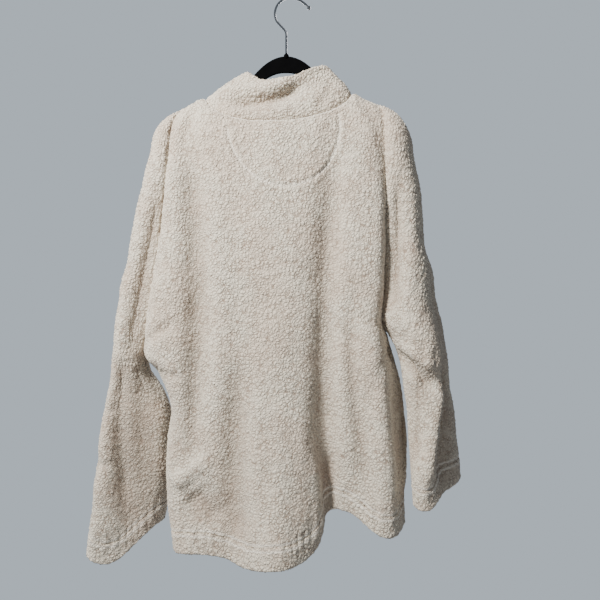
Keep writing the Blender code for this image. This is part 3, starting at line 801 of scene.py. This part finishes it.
def quartered(places, faces, owners):
    """Every quad parted into four at its edges' middles."""
    edges, number = edges_of(faces)
    points = np.concatenate(
        [places, places[edges].mean(axis=1), places[faces].mean(axis=1)]
    )
    at_edge = len(places) + number
    at_middle = len(places) + len(edges) + np.arange(len(faces))
    parts = [
        np.stack([faces[:, k], at_edge[:, k], at_middle, at_edge[:, k - 1]], axis=1)
        for k in range(4)
    ]
    return points, np.concatenate(parts), np.tile(owners, 4)


@functools.lru_cache(maxsize=None)
def cloth():
    """The garment's middle surface, coarse and fine, with its creases pressed in."""
    surface = Surface()
    grids = chest(surface)
    skirt(surface, grids)
    sleeves(surface, grids)
    collar(surface, grids)
    places, faces, owners = smoothed(surface)
    layers = {"names": surface.names}
    normals = normals_of(places, faces)
    layers["coarse"] = pressed(places, normals, faces, owners, surface.names)
    fine_places, fine_faces, fine_owners = quartered(places, faces, owners)
    fine_normals = normals_of(fine_places, fine_faces)
    layers["fine"] = pressed(
        fine_places, fine_normals, fine_faces, fine_owners, surface.names
    )
    return layers


def smoothed(surface):
    """Two rounds of subdivision of the worked-out grid, facing out."""
    mesh = bpy.data.meshes.new("surface")
    mesh.from_pydata(surface.places, [], surface.faces)
    mesh.polygons.foreach_set("material_index", surface.owners)
    for name in surface.names:
        mesh.materials.append(bpy.data.materials.new("owner_" + name))
    source = bmesh.new()
    source.from_mesh(mesh)
    bmesh.ops.recalc_face_normals(source, faces=source.faces[:])
    source.normal_update()
    behind = min(source.verts, key=lambda v: v.co.y)
    if behind.normal.y > 0:
        bmesh.ops.reverse_faces(source, faces=source.faces[:])
    source.to_mesh(mesh)
    source.free()
    body = bpy.data.objects.new("surface", mesh)
    bpy.context.scene.collection.objects.link(body)
    rounds = body.modifiers.new("rounds", "SUBSURF")
    rounds.levels = rounds.render_levels = 2
    rounds.boundary_smooth = "PRESERVE_CORNERS"
    finer = body.evaluated_get(bpy.context.evaluated_depsgraph_get()).to_mesh()
    places = np.empty(len(finer.vertices) * 3)
    finer.vertices.foreach_get("co", places)
    faces = np.empty(len(finer.loops), dtype=np.int32)
    finer.loops.foreach_get("vertex_index", faces)
    owners = np.empty(len(finer.polygons), dtype=np.int32)
    finer.polygons.foreach_get("material_index", owners)
    bpy.data.objects.remove(body)
    for made in list(mesh.materials):
        bpy.data.materials.remove(made)
    bpy.data.meshes.remove(mesh)
    return places.reshape(-1, 3), faces.reshape(-1, 4), owners


def bend(row):
    """Points along a crease's bent path."""
    t = np.linspace(0, 1, BEND_STEPS)[:, None]
    ends = [np.array([row["x" + k], row["z" + k]], float) for k in "012"]
    control = 2 * ends[1] - (ends[0] + ends[2]) / 2
    return (1 - t) ** 2 * ends[0] + 2 * t * (1 - t) * control + t**2 * ends[2]


def crease_rise(places, normals, on_collar):
    """How far the listed creases move each point along its normal."""
    flat = places[:, [0, 2]]
    rise = np.zeros(len(places))
    backwards = np.clip(-normals[:, 1] * CREASE_FACING, 0, 1)
    forwards = np.clip(normals[:, 1] * CREASE_FACING, 0, 1)
    facing = {
        "back": backwards * ~on_collar,
        "front": forwards * ~on_collar,
        "collar": backwards * on_collar,
    }
    for values in CREASES:
        row = dict(zip(CREASE_COLUMNS, values))
        path = bend(row)
        reach = CREASE_REACH * row["width"]
        near = np.all((flat > path.min(0) - reach) & (flat < path.max(0) + reach), axis=1)
        near &= facing[row["side"]] > 0
        spots = np.flatnonzero(near)
        apart = np.linalg.norm(flat[spots][:, None, :] - path[None], axis=2)
        nearest = apart.argmin(axis=1)
        along = nearest / (len(path) - 1)
        fade = np.clip(np.minimum(along, 1 - along) * 4 + CREASE_ENDS, 0, 1)
        shape = np.exp(-((apart.min(axis=1) / row["width"]) ** 2))
        rise[spots] += row["rise"] * shape * fade * facing[row["side"]][spots]
    return rise


def moon_path():
    """The half-moon's stitched line, from its left end to its right."""
    turns = np.linspace(pi, 0, MOON_STEPS)
    across = MOON_HALF * np.cos(turns)
    down = MOON_DEEP * np.sin(turns)
    x = MOON_X + across * cos(MOON_LEAN) + down * sin(MOON_LEAN)
    z = MOON_Z + across * sin(MOON_LEAN) - down * cos(MOON_LEAN)
    return np.stack([x, z], axis=1)


def moon_gap(places, normals, on_back):
    """Distance of each point of the back from the half-moon's stitched line."""
    flat = places[:, [0, 2]]
    path = moon_path()
    near = on_back & (normals[:, 1] < MOON_FACING)
    low, high = path.min(0) - MOON_MARGIN, path.max(0) + MOON_MARGIN
    near &= np.all((flat > low) & (flat < high), axis=1)
    spots = np.flatnonzero(near)
    gap = np.full(len(places), FAR)
    gap[spots] = np.linalg.norm(flat[spots][:, None, :] - path[None], axis=2).min(axis=1)
    return gap


def line_at(gap, where, half):
    """One on a line at this distance from something, falling away on both sides."""
    return np.exp(-(((gap - where) / half) ** 2))


def distance_to(places, chosen):
    """Each point's distance from the nearest of the chosen points."""
    tree = KDTree(len(chosen))
    for k, spot in enumerate(chosen):
        tree.insert(places[spot], k)
    tree.balance()
    return np.array([tree.find(place)[2] for place in places])


def slow_roll(x, y, z):
    """The cloth's slow unevenness, from waves of unlike lengths that don't repeat."""
    roll = np.sin(x / 31 + np.sin(z / 57) * 1.7) * np.sin(z / 43 + np.cos(x / 71) * 2.1)
    return roll + 0.6 * np.sin(x / 17 + z / 29 + y / 23) * np.sin(z / 19 - x / 37)


def pressed(places, normals, faces, owners, names):
    """One layer of the cloth: points, normals, faces and what each point is near."""
    held = np.zeros((len(places), len(names)), bool)
    for corner in range(4):
        held[faces[:, corner], owners] = True
    on_collar = held[:, names.index("collar")]
    on_back = held[:, names.index("back")]
    shared = held.sum(axis=1) > 1
    bands = [names.index(n) for n in names if n.startswith(("hem", "cuff"))]
    edges, number = edges_of(faces)
    uses = np.bincount(number.ravel(), minlength=len(edges))
    free = np.unique(edges[uses == 1])
    neck_gap = distance_to(places, np.flatnonzero(on_collar & shared))
    seam_gap = distance_to(places, np.flatnonzero(shared))
    stitch_gap = distance_to(places, np.flatnonzero(shared & held[:, bands].any(axis=1)))
    free_gap = distance_to(places, free)
    x, y, z = places.T
    pucker = np.sin(x / 2.6 + 1.4 * np.sin(x / 11) + y / 3.1)
    moon = moon_gap(places, normals, on_back)
    rise = crease_rise(places, normals, on_collar)
    # painted shade: how deep each crease is pressed in, from 0 to 1, darkens the cloth's colour
    # in its troughs
    depth = np.clip(-rise / FULL_SHADE_DEPTH, 0, 1)
    rise += ROLL * slow_roll(x, y, z)
    rise += PUCKER * pucker * line_at(stitch_gap, 0, PUCKER_REACH)
    moved = places + normals * rise[:, None]
    return {
        "places": moved,
        "normals": normals_of(moved, faces),
        "faces": faces,
        "owners": owners,
        "seam_gap": seam_gap,
        "free_gap": free_gap,
        "groove": SEAM_GROOVE * line_at(seam_gap, 0, SEAM_GROOVE_HALF)
        + NECK_GROOVE * line_at(neck_gap, 0, NECK_GROOVE_HALF)
        + MOON_GROOVE * line_at(moon, 0, MOON_GROOVE_HALF)
        - MOON_SWELL * line_at(moon, MOON_SWELL_AT, MOON_SWELL_HALF),
        "depth": depth,
        "sewn": np.max(
            [
                line_at(stitch_gap, STITCH_INSET, STITCH_HALF),
                line_at(neck_gap, STITCH_INSET, STITCH_HALF) * ~on_collar,
                line_at(moon, 0, STITCH_HALF),
            ],
            axis=0,
        ),
    }


def wall_places(layer, half, outer):
    """A layer's points moved out or in by half the wall, thinning at free edges."""
    s = np.clip(layer["free_gap"] / half, 0, 1)
    offset = half * np.maximum(np.sqrt(1 - (1 - s) ** 2), THIN_EDGE)
    if outer:
        return layer["places"] + layer["normals"] * (offset - layer["groove"])[:, None]
    return layer["places"] - layer["normals"] * offset[:, None]


def add_cloth_piece(name, wall, material):
    """A closed shell of one piece: a fine outer wall, a plainer inner wall, and its rim."""
    layers = cloth()
    owner = layers["names"].index(name)
    fine, coarse = layers["fine"], layers["coarse"]
    outer_faces = fine["faces"][fine["owners"] == owner]
    inner_faces = coarse["faces"][coarse["owners"] == owner]
    outer_used, outer_faces = np.unique(outer_faces, return_inverse=True)
    outer_faces = outer_faces.reshape(-1, 4)
    inner_used, inner_faces = np.unique(inner_faces, return_inverse=True)
    inner_faces = inner_faces.reshape(-1, 4) + len(outer_used)
    half = wall / MM / 2
    outer = wall_places(fine, half, True)[outer_used]
    inner = wall_places(coarse, half, False)[inner_used]
    rims = rim_faces(coarse, owner, outer_used, inner_used)
    places = np.concatenate([outer, inner]) * MM
    faces = [*outer_faces.tolist(), *inner_faces[:, ::-1].tolist(), *rims]
    mesh = bpy.data.meshes.new(name + "_cloth")
    mesh.from_pydata(places.tolist(), [], faces)
    mesh.validate()
    sewn = np.concatenate([fine["sewn"][outer_used], np.zeros(len(inner))])
    standing_pile = np.clip(fine["seam_gap"][outer_used] / SEAM_FLAT, 0.1, 1.0)
    pile = np.concatenate([standing_pile, np.full(len(inner), INNER_PILE)])
    pile = pile * (1 - STITCH_PRESS * sewn)
    # painted shade in the troughs of the creases, carried to the material
    depth = np.concatenate([fine["depth"][outer_used], np.zeros(len(inner))])
    rest = mesh.attributes.new("rest", "FLOAT_VECTOR", "POINT")
    rest.data.foreach_set("vector", places.astype(np.float32).ravel())
    for label, values in (("pile", pile), ("trough_shade", depth), ("sewn", sewn)):
        written = mesh.attributes.new(label, "FLOAT", "POINT")
        written.data.foreach_set("value", values.astype(np.float32))
    mesh.materials.append(material)
    piece = bpy.data.objects.new(name + "_cloth", mesh)
    bpy.context.scene.collection.objects.link(piece)
    raise_pile(piece)
    piece.data.shade_smooth()
    piece.data.set_sharp_from_angle(angle=CLOTH_CREST)
    hold_to_node(piece, name)
    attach(piece, "root")
    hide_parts(name)
    return piece


def rim_faces(coarse, owner, outer_used, inner_used):
    """Five-sided faces that close the shell between its fine and its coarse edge."""
    faces = coarse["faces"]
    edges, number = edges_of(faces)
    own = coarse["owners"] == owner
    uses = np.bincount(number[own].ravel(), minlength=len(edges))
    outer_at = {v: k for k, v in enumerate(outer_used.tolist())}
    inner_at = {v: k + len(outer_used) for k, v in enumerate(inner_used.tolist())}
    rims = []
    for face, numbers in zip(faces[own].tolist(), number[own].tolist()):
        for corner in range(4):
            edge = numbers[corner]
            if uses[edge] != 1:
                continue
            a, b = face[corner], face[(corner + 1) % 4]
            middle = len(coarse["places"]) + edge
            rims.append([
                outer_at[b], outer_at[middle], outer_at[a], inner_at[a], inner_at[b]
            ])
    return rims


def hold_to_node(piece, node):
    """Stops if a piece leaves the room that its CAD node gives it."""
    low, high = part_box(node)
    corners = np.array([tuple(v.co) for v in piece.data.vertices])
    past = max((np.array(low) - corners.min(0)).max(), (corners.max(0) - np.array(high)).max())
    if past > NODE_ROOM:
        raise RuntimeError(f"{piece.name} stands {past * 1000:.1f} mm outside {node}")


# ---------------------------------------------------------------- pile and materials


def maths(tree, operation, *values):
    made = tree.nodes.new("ShaderNodeMath")
    made.operation = operation
    for socket, value in zip(made.inputs, values):
        feed(tree, socket, value)
    return made.outputs[0]


def feed(tree, socket, value):
    if isinstance(value, bpy.types.NodeSocket):
        tree.links.new(value, socket)
    else:
        socket.default_value = value


def ranged(tree, value, low, high, to_low=0.0, to_high=1.0):
    """Value eased from low..high to to_low..to_high."""
    made = tree.nodes.new("ShaderNodeMapRange")
    made.interpolation_type = "SMOOTHSTEP"
    for name, number in (
        ("Value", value), ("From Min", low), ("From Max", high),
        ("To Min", to_low), ("To Max", to_high),
    ):
        feed(tree, made.inputs[name], number)
    return made.outputs[0]


def noise(tree, vector, scale, detail=2.0, roughness=0.5, colour=False):
    made = tree.nodes.new("ShaderNodeTexNoise")
    feed(tree, made.inputs["Vector"], vector)
    made.inputs["Scale"].default_value = scale
    made.inputs["Detail"].default_value = detail
    made.inputs["Roughness"].default_value = roughness
    return made.outputs["Color" if colour else "Fac"]


def voronoi(tree, vector, scale, feature="F1", output="Distance"):
    made = tree.nodes.new("ShaderNodeTexVoronoi")
    made.feature = feature
    feed(tree, made.inputs["Vector"], vector)
    made.inputs["Scale"].default_value = scale
    return made.outputs[output]


def curled_clumps(tree, rest, clump):
    """Sherpa pile: domed clumps with crooked crevices. Gives the dome, a mask of the crevices
    for painted shade, and the small curls, each from 0 to 1. Geometry and shader trees both use
    it."""
    wobble = noise(tree, rest, 0.75 / clump, 3.0, 0.6, colour=True)
    centred = tree.nodes.new("ShaderNodeVectorMath")
    centred.operation = "SUBTRACT"
    feed(tree, centred.inputs[0], wobble)
    centred.inputs[1].default_value = (0.5, 0.5, 0.5)
    moved = tree.nodes.new("ShaderNodeVectorMath")
    moved.operation = "MULTIPLY_ADD"
    tree.links.new(centred.outputs[0], moved.inputs[0])
    moved.inputs[1].default_value = (clump * 0.9,) * 3
    feed(tree, moved.inputs[2], rest)
    place = moved.outputs[0]
    to_edge = voronoi(tree, place, 1 / clump, "DISTANCE_TO_EDGE")
    dome = ranged(tree, to_edge, 0.0, 0.34)
    # mask of the painted shade down between the clumps, 1 in the crevices
    crevice_shade = ranged(tree, to_edge, 0.01, 0.19, 1.0, 0.0)
    curl = ranged(tree, voronoi(tree, place, 2.6 / clump), 0.75, 0.1)
    return dome, crevice_shade, curl


@functools.lru_cache(maxsize=None)
def pile_group(clump, pile):
    """Geometry nodes that raise the clumps of the pile along the surface's normal."""
    tree = bpy.data.node_groups.new("Raise pile", "GeometryNodeTree")
    tree.interface.new_socket("Geometry", in_out="INPUT", socket_type="NodeSocketGeometry")
    tree.interface.new_socket("Geometry", in_out="OUTPUT", socket_type="NodeSocketGeometry")
    into, out = tree.nodes.new("NodeGroupInput"), tree.nodes.new("NodeGroupOutput")
    rest = tree.nodes.new("GeometryNodeInputNamedAttribute")
    rest.data_type = "FLOAT_VECTOR"
    rest.inputs["Name"].default_value = "rest"
    standing = tree.nodes.new("GeometryNodeInputNamedAttribute")
    standing.data_type = "FLOAT"
    standing.inputs["Name"].default_value = "pile"
    dome, _, curl = curled_clumps(tree, rest.outputs["Attribute"], clump)
    broad = noise(tree, rest.outputs["Attribute"], 0.3 / clump, 1.0)
    height = maths(tree, "MULTIPLY_ADD", curl, 0.25, maths(tree, "MULTIPLY", dome, 0.8))
    height = maths(tree, "MULTIPLY_ADD", broad, 0.5, height)
    height = maths(tree, "MULTIPLY", maths(tree, "SUBTRACT", height, 0.75), pile)
    height = maths(tree, "MULTIPLY", height, standing.outputs["Attribute"])
    normal = tree.nodes.new("GeometryNodeInputNormal")
    offset = tree.nodes.new("ShaderNodeVectorMath")
    offset.operation = "SCALE"
    tree.links.new(normal.outputs[0], offset.inputs[0])
    tree.links.new(height, offset.inputs["Scale"])
    move = tree.nodes.new("GeometryNodeSetPosition")
    tree.links.new(into.outputs[0], move.inputs["Geometry"])
    tree.links.new(offset.outputs[0], move.inputs["Offset"])
    tree.links.new(move.outputs[0], out.inputs[0])
    return tree


def raise_pile(piece):
    settings = bpy.context.scene.pullover_fleece
    raised = piece.modifiers.new("pile", "NODES")
    raised.node_group = pile_group(settings.clump, settings.pile)
    only(piece)
    bpy.ops.object.modifier_apply(modifier="pile")


def only(piece):
    bpy.ops.object.select_all(action="DESELECT")
    piece.select_set(True)
    bpy.context.view_layer.objects.active = piece


def new_material(name):
    made = bpy.data.materials.new(name)
    made.use_nodes = True
    return made, made.node_tree, made.node_tree.nodes["Principled BSDF"]


def blended(tree, share, low, high):
    """A colour between two, by a share from nodes."""
    made = tree.nodes.new("ShaderNodeMix")
    made.data_type = "RGBA"
    feed(tree, made.inputs["Factor"], share)
    for socket, colour in ((made.inputs[6], low), (made.inputs[7], high)):
        feed(tree, socket, colour if isinstance(colour, bpy.types.NodeSocket) else (*colour, 1))
    return made.outputs[2]


def carried(tree, name, output="Fac"):
    """An attribute that the cloth carries, read in its material."""
    read_in = tree.nodes.new("ShaderNodeAttribute")
    read_in.attribute_name = name
    return read_in.outputs[output]


STITCH_COLOUR = (0.86, 0.80, 0.71)
SPECK_COLOUR = (0.10, 0.07, 0.055)
STITCH_SHARE, TROUGH_SHADE_SHARE, SPECK_SHARE = 0.75, 0.52, 0.8  # how far each colour comes in; the one for deep creases is painted shade


@functools.lru_cache(maxsize=None)
def fleece_material():
    """Curled cream pile with painted shade down in its crevices, pinker patches and a few dark
    specks. The troughs of deep creases get painted shade, and the stitched lines are lightened,
    by what the cloth carries."""
    settings = bpy.context.scene.pullover_fleece
    made, tree, shader = new_material("sherpa fleece")
    place = carried(tree, "rest", "Vector")
    dome, crevice_shade, curl = curled_clumps(tree, place, settings.clump)
    patches = ranged(tree, noise(tree, place, 14.0, 3.0, 0.55), 0.38, 0.66)
    clumps = noise(tree, place, 120.0, 2.0)
    tone = maths(tree, "MULTIPLY_ADD", clumps, 0.5, maths(tree, "MULTIPLY", patches, 0.6))
    colour = blended(tree, ranged(tree, tone, 0.1, 0.95), settings.cream, settings.beige)
    # painted shade: darker down between the small curls and, by an uneven share, in the
    # crevices between the clumps
    curl_shade = maths(tree, "MULTIPLY", maths(tree, "SUBTRACT", 1.0, curl), 0.26)
    uneven = ranged(tree, noise(tree, place, 95.0, 2.0), 0.30, 0.66, 0.35, 1.0)
    depth = maths(tree, "MAXIMUM", maths(tree, "MULTIPLY", crevice_shade, uneven), curl_shade)
    colour = blended(tree, depth, colour, settings.crevice_shade)
    # painted shade: deep creases are darkened towards the crevices' colour
    painted_trough_shade = maths(tree, "MULTIPLY", carried(tree, "trough_shade"), TROUGH_SHADE_SHARE)
    colour = blended(tree, painted_trough_shade, colour, settings.crevice_shade)
    line = maths(tree, "MULTIPLY", carried(tree, "sewn"), STITCH_SHARE)
    colour = blended(tree, line, colour, STITCH_COLOUR)
    fleck = voronoi(tree, place, 34.0)
    rare = ranged(tree, noise(tree, place, 21.0, 0.0), 0.60, 0.64)
    speck = maths(tree, "MULTIPLY", ranged(tree, fleck, 0.045, 0.025), rare)
    speck = maths(tree, "MULTIPLY", speck, SPECK_SHARE)
    colour = blended(tree, speck, colour, SPECK_COLOUR)
    tree.links.new(colour, shader.inputs["Base Color"])
    wool = noise(tree, place, 900.0, 2.0, 0.7)
    height = maths(tree, "MULTIPLY_ADD", curl, 0.45, maths(tree, "MULTIPLY", dome, 0.7))
    height = maths(tree, "MULTIPLY_ADD", wool, 0.25, height)
    bump = tree.nodes.new("ShaderNodeBump")
    bump.inputs["Strength"].default_value = 1.0
    bump.inputs["Distance"].default_value = 0.0015
    tree.links.new(height, bump.inputs["Height"])
    tree.links.new(bump.outputs[0], shader.inputs["Normal"])
    rough = ranged(tree, wool, 0.2, 0.8, 0.88, 1.0)
    tree.links.new(rough, shader.inputs["Roughness"])
    shader.inputs["Sheen Weight"].default_value = 0.35
    shader.inputs["Sheen Roughness"].default_value = 0.55
    shader.inputs["Sheen Tint"].default_value = (0.95, 0.9, 0.84, 1)
    shader.inputs["Specular IOR Level"].default_value = 0.15
    return made


# ---------------------------------------------------------------- operators


def fleece_pieces(names):
    settings = bpy.context.scene.pullover_fleece
    made = {}
    for name in names:
        double = name.startswith(("hem", "cuff", "collar"))
        wall = settings.double_wall if double else settings.wall
        made[name] = add_cloth_piece(name, wall, fleece_material())
    return made


class PULLOVER_OT_panels(bpy.types.Operator):
    """Add the back and front panels with their turned hems"""

    bl_idname = "pullover.panels"
    bl_label = "Back, front and hems"

    def execute(self, context):
        fleece_pieces(("back", "front", "hem_back", "hem_front"))
        return {"FINISHED"}


class PULLOVER_OT_sleeves(bpy.types.Operator):
    """Add both sleeves with their turned cuffs"""

    bl_idname = "pullover.sleeves"
    bl_label = "Sleeves and cuffs"

    def execute(self, context):
        names = ("sleeve_left", "sleeve_right", "cuff_left", "cuff_right")
        fleece_pieces(names)
        return {"FINISHED"}


class PULLOVER_OT_collar(bpy.types.Operator):
    """Add the slumped funnel collar"""

    bl_idname = "pullover.collar"
    bl_label = "Collar"

    def execute(self, context):
        fleece_pieces(("collar",))
        return {"FINISHED"}


def velvet_material(settings):
    """Black flock whose short nap lies in soft uneven patches."""
    made, tree, shader = new_material("black velvet")
    where = tree.nodes.new("ShaderNodeTexCoord")
    nap = noise(tree, where.outputs["Object"], 2600.0, 2.0, 0.6)
    patches = noise(tree, where.outputs["Object"], 60.0, 2.0)
    share = maths(tree, "MULTIPLY", nap, patches)
    tree.links.new(
        blended(tree, share, settings.velvet, VELVET_LIGHT), shader.inputs["Base Color"]
    )
    bump = tree.nodes.new("ShaderNodeBump")
    bump.inputs["Distance"].default_value = 0.0003
    tree.links.new(nap, bump.inputs["Height"])
    tree.links.new(bump.outputs[0], shader.inputs["Normal"])
    tree.links.new(ranged(tree, nap, 0.2, 0.8, 0.85, 1.0), shader.inputs["Roughness"])
    shader.inputs["Specular IOR Level"].default_value = 0.02
    return made


class PULLOVER_OT_hanger(bpy.types.Operator):
    """Cover the hanger's body in black velvet"""

    bl_idname = "pullover.hanger"
    bl_label = "Hanger"

    def execute(self, context):
        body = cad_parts["hanger_body"]
        body.data.materials.clear()
        body.data.materials.append(velvet_material(context.scene.pullover_hanger))
        return {"FINISHED"}


VELVET_LIGHT = (0.004, 0.004, 0.0045)


class PULLOVER_OT_stage(bpy.types.Operator):
    """Add the floor, the lights and the camera"""

    bl_idname = "pullover.stage"
    bl_label = "Stage"

    def execute(self, context):
        settings = context.scene.pullover_stage
        bpy.ops.object.select_all(action="DESELECT")
        bpy.ops.mesh.primitive_circle_add(
            vertices=96, radius=FLOOR_RADIUS, fill_type="NGON", location=(0, 0, FLOOR_Z)
        )
        floor = context.object
        floor.name = "floor"
        made, _, shader = new_material("pale floor")
        shader.inputs["Base Color"].default_value = (*settings.floor, 1)
        shader.inputs["Roughness"].default_value = 0.8
        floor.data.materials.append(made)
        add_air(context.scene, settings)
        for light in LIGHTS:
            add_light(**dict(zip(LIGHT_COLUMNS, light)))
        add_camera(settings)
        return {"FINISHED"}


FLOOR_RADIUS, FLOOR_Z = 1.25, -1.9
CAMERA_X, CAMERA_Z = 0.016, -0.527
LOOK_AT = Vector((-0.02, 0, -0.5))
LIGHT_COLUMNS = ("name", "place", "size", "power", "colour")
LIGHTS = (
    ("window", (-0.86, -0.98, 0.42), 0.34, 70, (1.0, 0.985, 0.93)),
    ("fill", (0.5, -1.7, 0.2), 0.8, 4, (1.0, 0.99, 0.97)),
    ("back", (0.4, 1.6, 0.5), 1.4, 26, (0.97, 0.98, 1.0)),
)
AIR_LIGHT, AIR_SEEN = 0.25, 0.80  # strength of the air as light, and as it is seen


def add_air(scene, settings):
    """Plain pale air all round, a little dimmer as a light than as it is seen."""
    world = bpy.data.worlds.new("air")
    scene.world = world
    world.use_nodes = True
    tree = world.node_tree
    light = tree.nodes["Background"]
    seen = tree.nodes.new("ShaderNodeBackground")
    for node, strength in ((light, AIR_LIGHT), (seen, AIR_SEEN)):
        node.inputs["Color"].default_value = (*settings.air, 1)
        node.inputs["Strength"].default_value = strength
    path = tree.nodes.new("ShaderNodeLightPath")
    both = tree.nodes.new("ShaderNodeMixShader")
    tree.links.new(path.outputs["Is Camera Ray"], both.inputs[0])
    tree.links.new(light.outputs[0], both.inputs[1])
    tree.links.new(seen.outputs[0], both.inputs[2])
    tree.links.new(both.outputs[0], tree.nodes["World Output"].inputs["Surface"])


def add_light(name, place, size, power, colour):
    lamp = bpy.data.lights.new(name, "AREA")
    lamp.shape = "DISK"
    lamp.size = size
    lamp.energy = power
    lamp.color = colour
    made = bpy.data.objects.new(name, lamp)
    made.location = place
    made.rotation_euler = (LOOK_AT - Vector(place)).to_track_quat("-Z", "Y").to_euler()
    bpy.context.scene.collection.objects.link(made)


def add_camera(settings):
    lens = bpy.data.cameras.new("camera")
    lens.sensor_width = 36.0
    lens.lens = lens.sensor_width * settings.camera_distance / settings.view_width
    made = bpy.data.objects.new("camera", lens)
    made.location = (CAMERA_X, -settings.camera_distance, CAMERA_Z)
    made.rotation_euler = (radians(90), 0, 0)
    bpy.context.scene.collection.objects.link(made)
    bpy.context.scene.camera = made


OPERATORS = (
    PULLOVER_OT_panels,
    PULLOVER_OT_sleeves,
    PULLOVER_OT_collar,
    PULLOVER_OT_hanger,
    PULLOVER_OT_stage,
)


class PULLOVER_PT_sidebar(bpy.types.Panel):
    """The pullover's pieces and settings"""

    bl_idname = "PULLOVER_PT_sidebar"
    bl_label = "Sherpa pullover"
    bl_space_type = "VIEW_3D"
    bl_region_type = "UI"
    bl_category = "Pullover"

    def draw(self, context):
        for operator in OPERATORS:
            self.layout.operator(operator.bl_idname)
        for name in SETTINGS:
            box = self.layout.box()
            group = getattr(context.scene, name)
            for field in group.bl_rna.properties:
                if field.identifier not in ("rna_type", "name"):
                    box.prop(group, field.identifier)


SETTINGS = {
    "pullover_fleece": FleeceSettings,
    "pullover_hanger": HangerSettings,
    "pullover_stage": StageSettings,
}
CLASSES = (*SETTINGS.values(), *OPERATORS, PULLOVER_PT_sidebar)


def register():
    for made in CLASSES:
        bpy.utils.register_class(made)
    for name, group in SETTINGS.items():
        setattr(bpy.types.Scene, name, bpy.props.PointerProperty(type=group))


def unregister():
    for name in SETTINGS:
        delattr(bpy.types.Scene, name)
    for made in reversed(CLASSES):
        bpy.utils.unregister_class(made)


def main():
    register()
    bpy.ops.pullover.panels()
    bpy.ops.pullover.sleeves()
    bpy.ops.pullover.collar()
    bpy.ops.pullover.hanger()
    bpy.ops.pullover.stage()


if __name__ == "__main__":
    main()
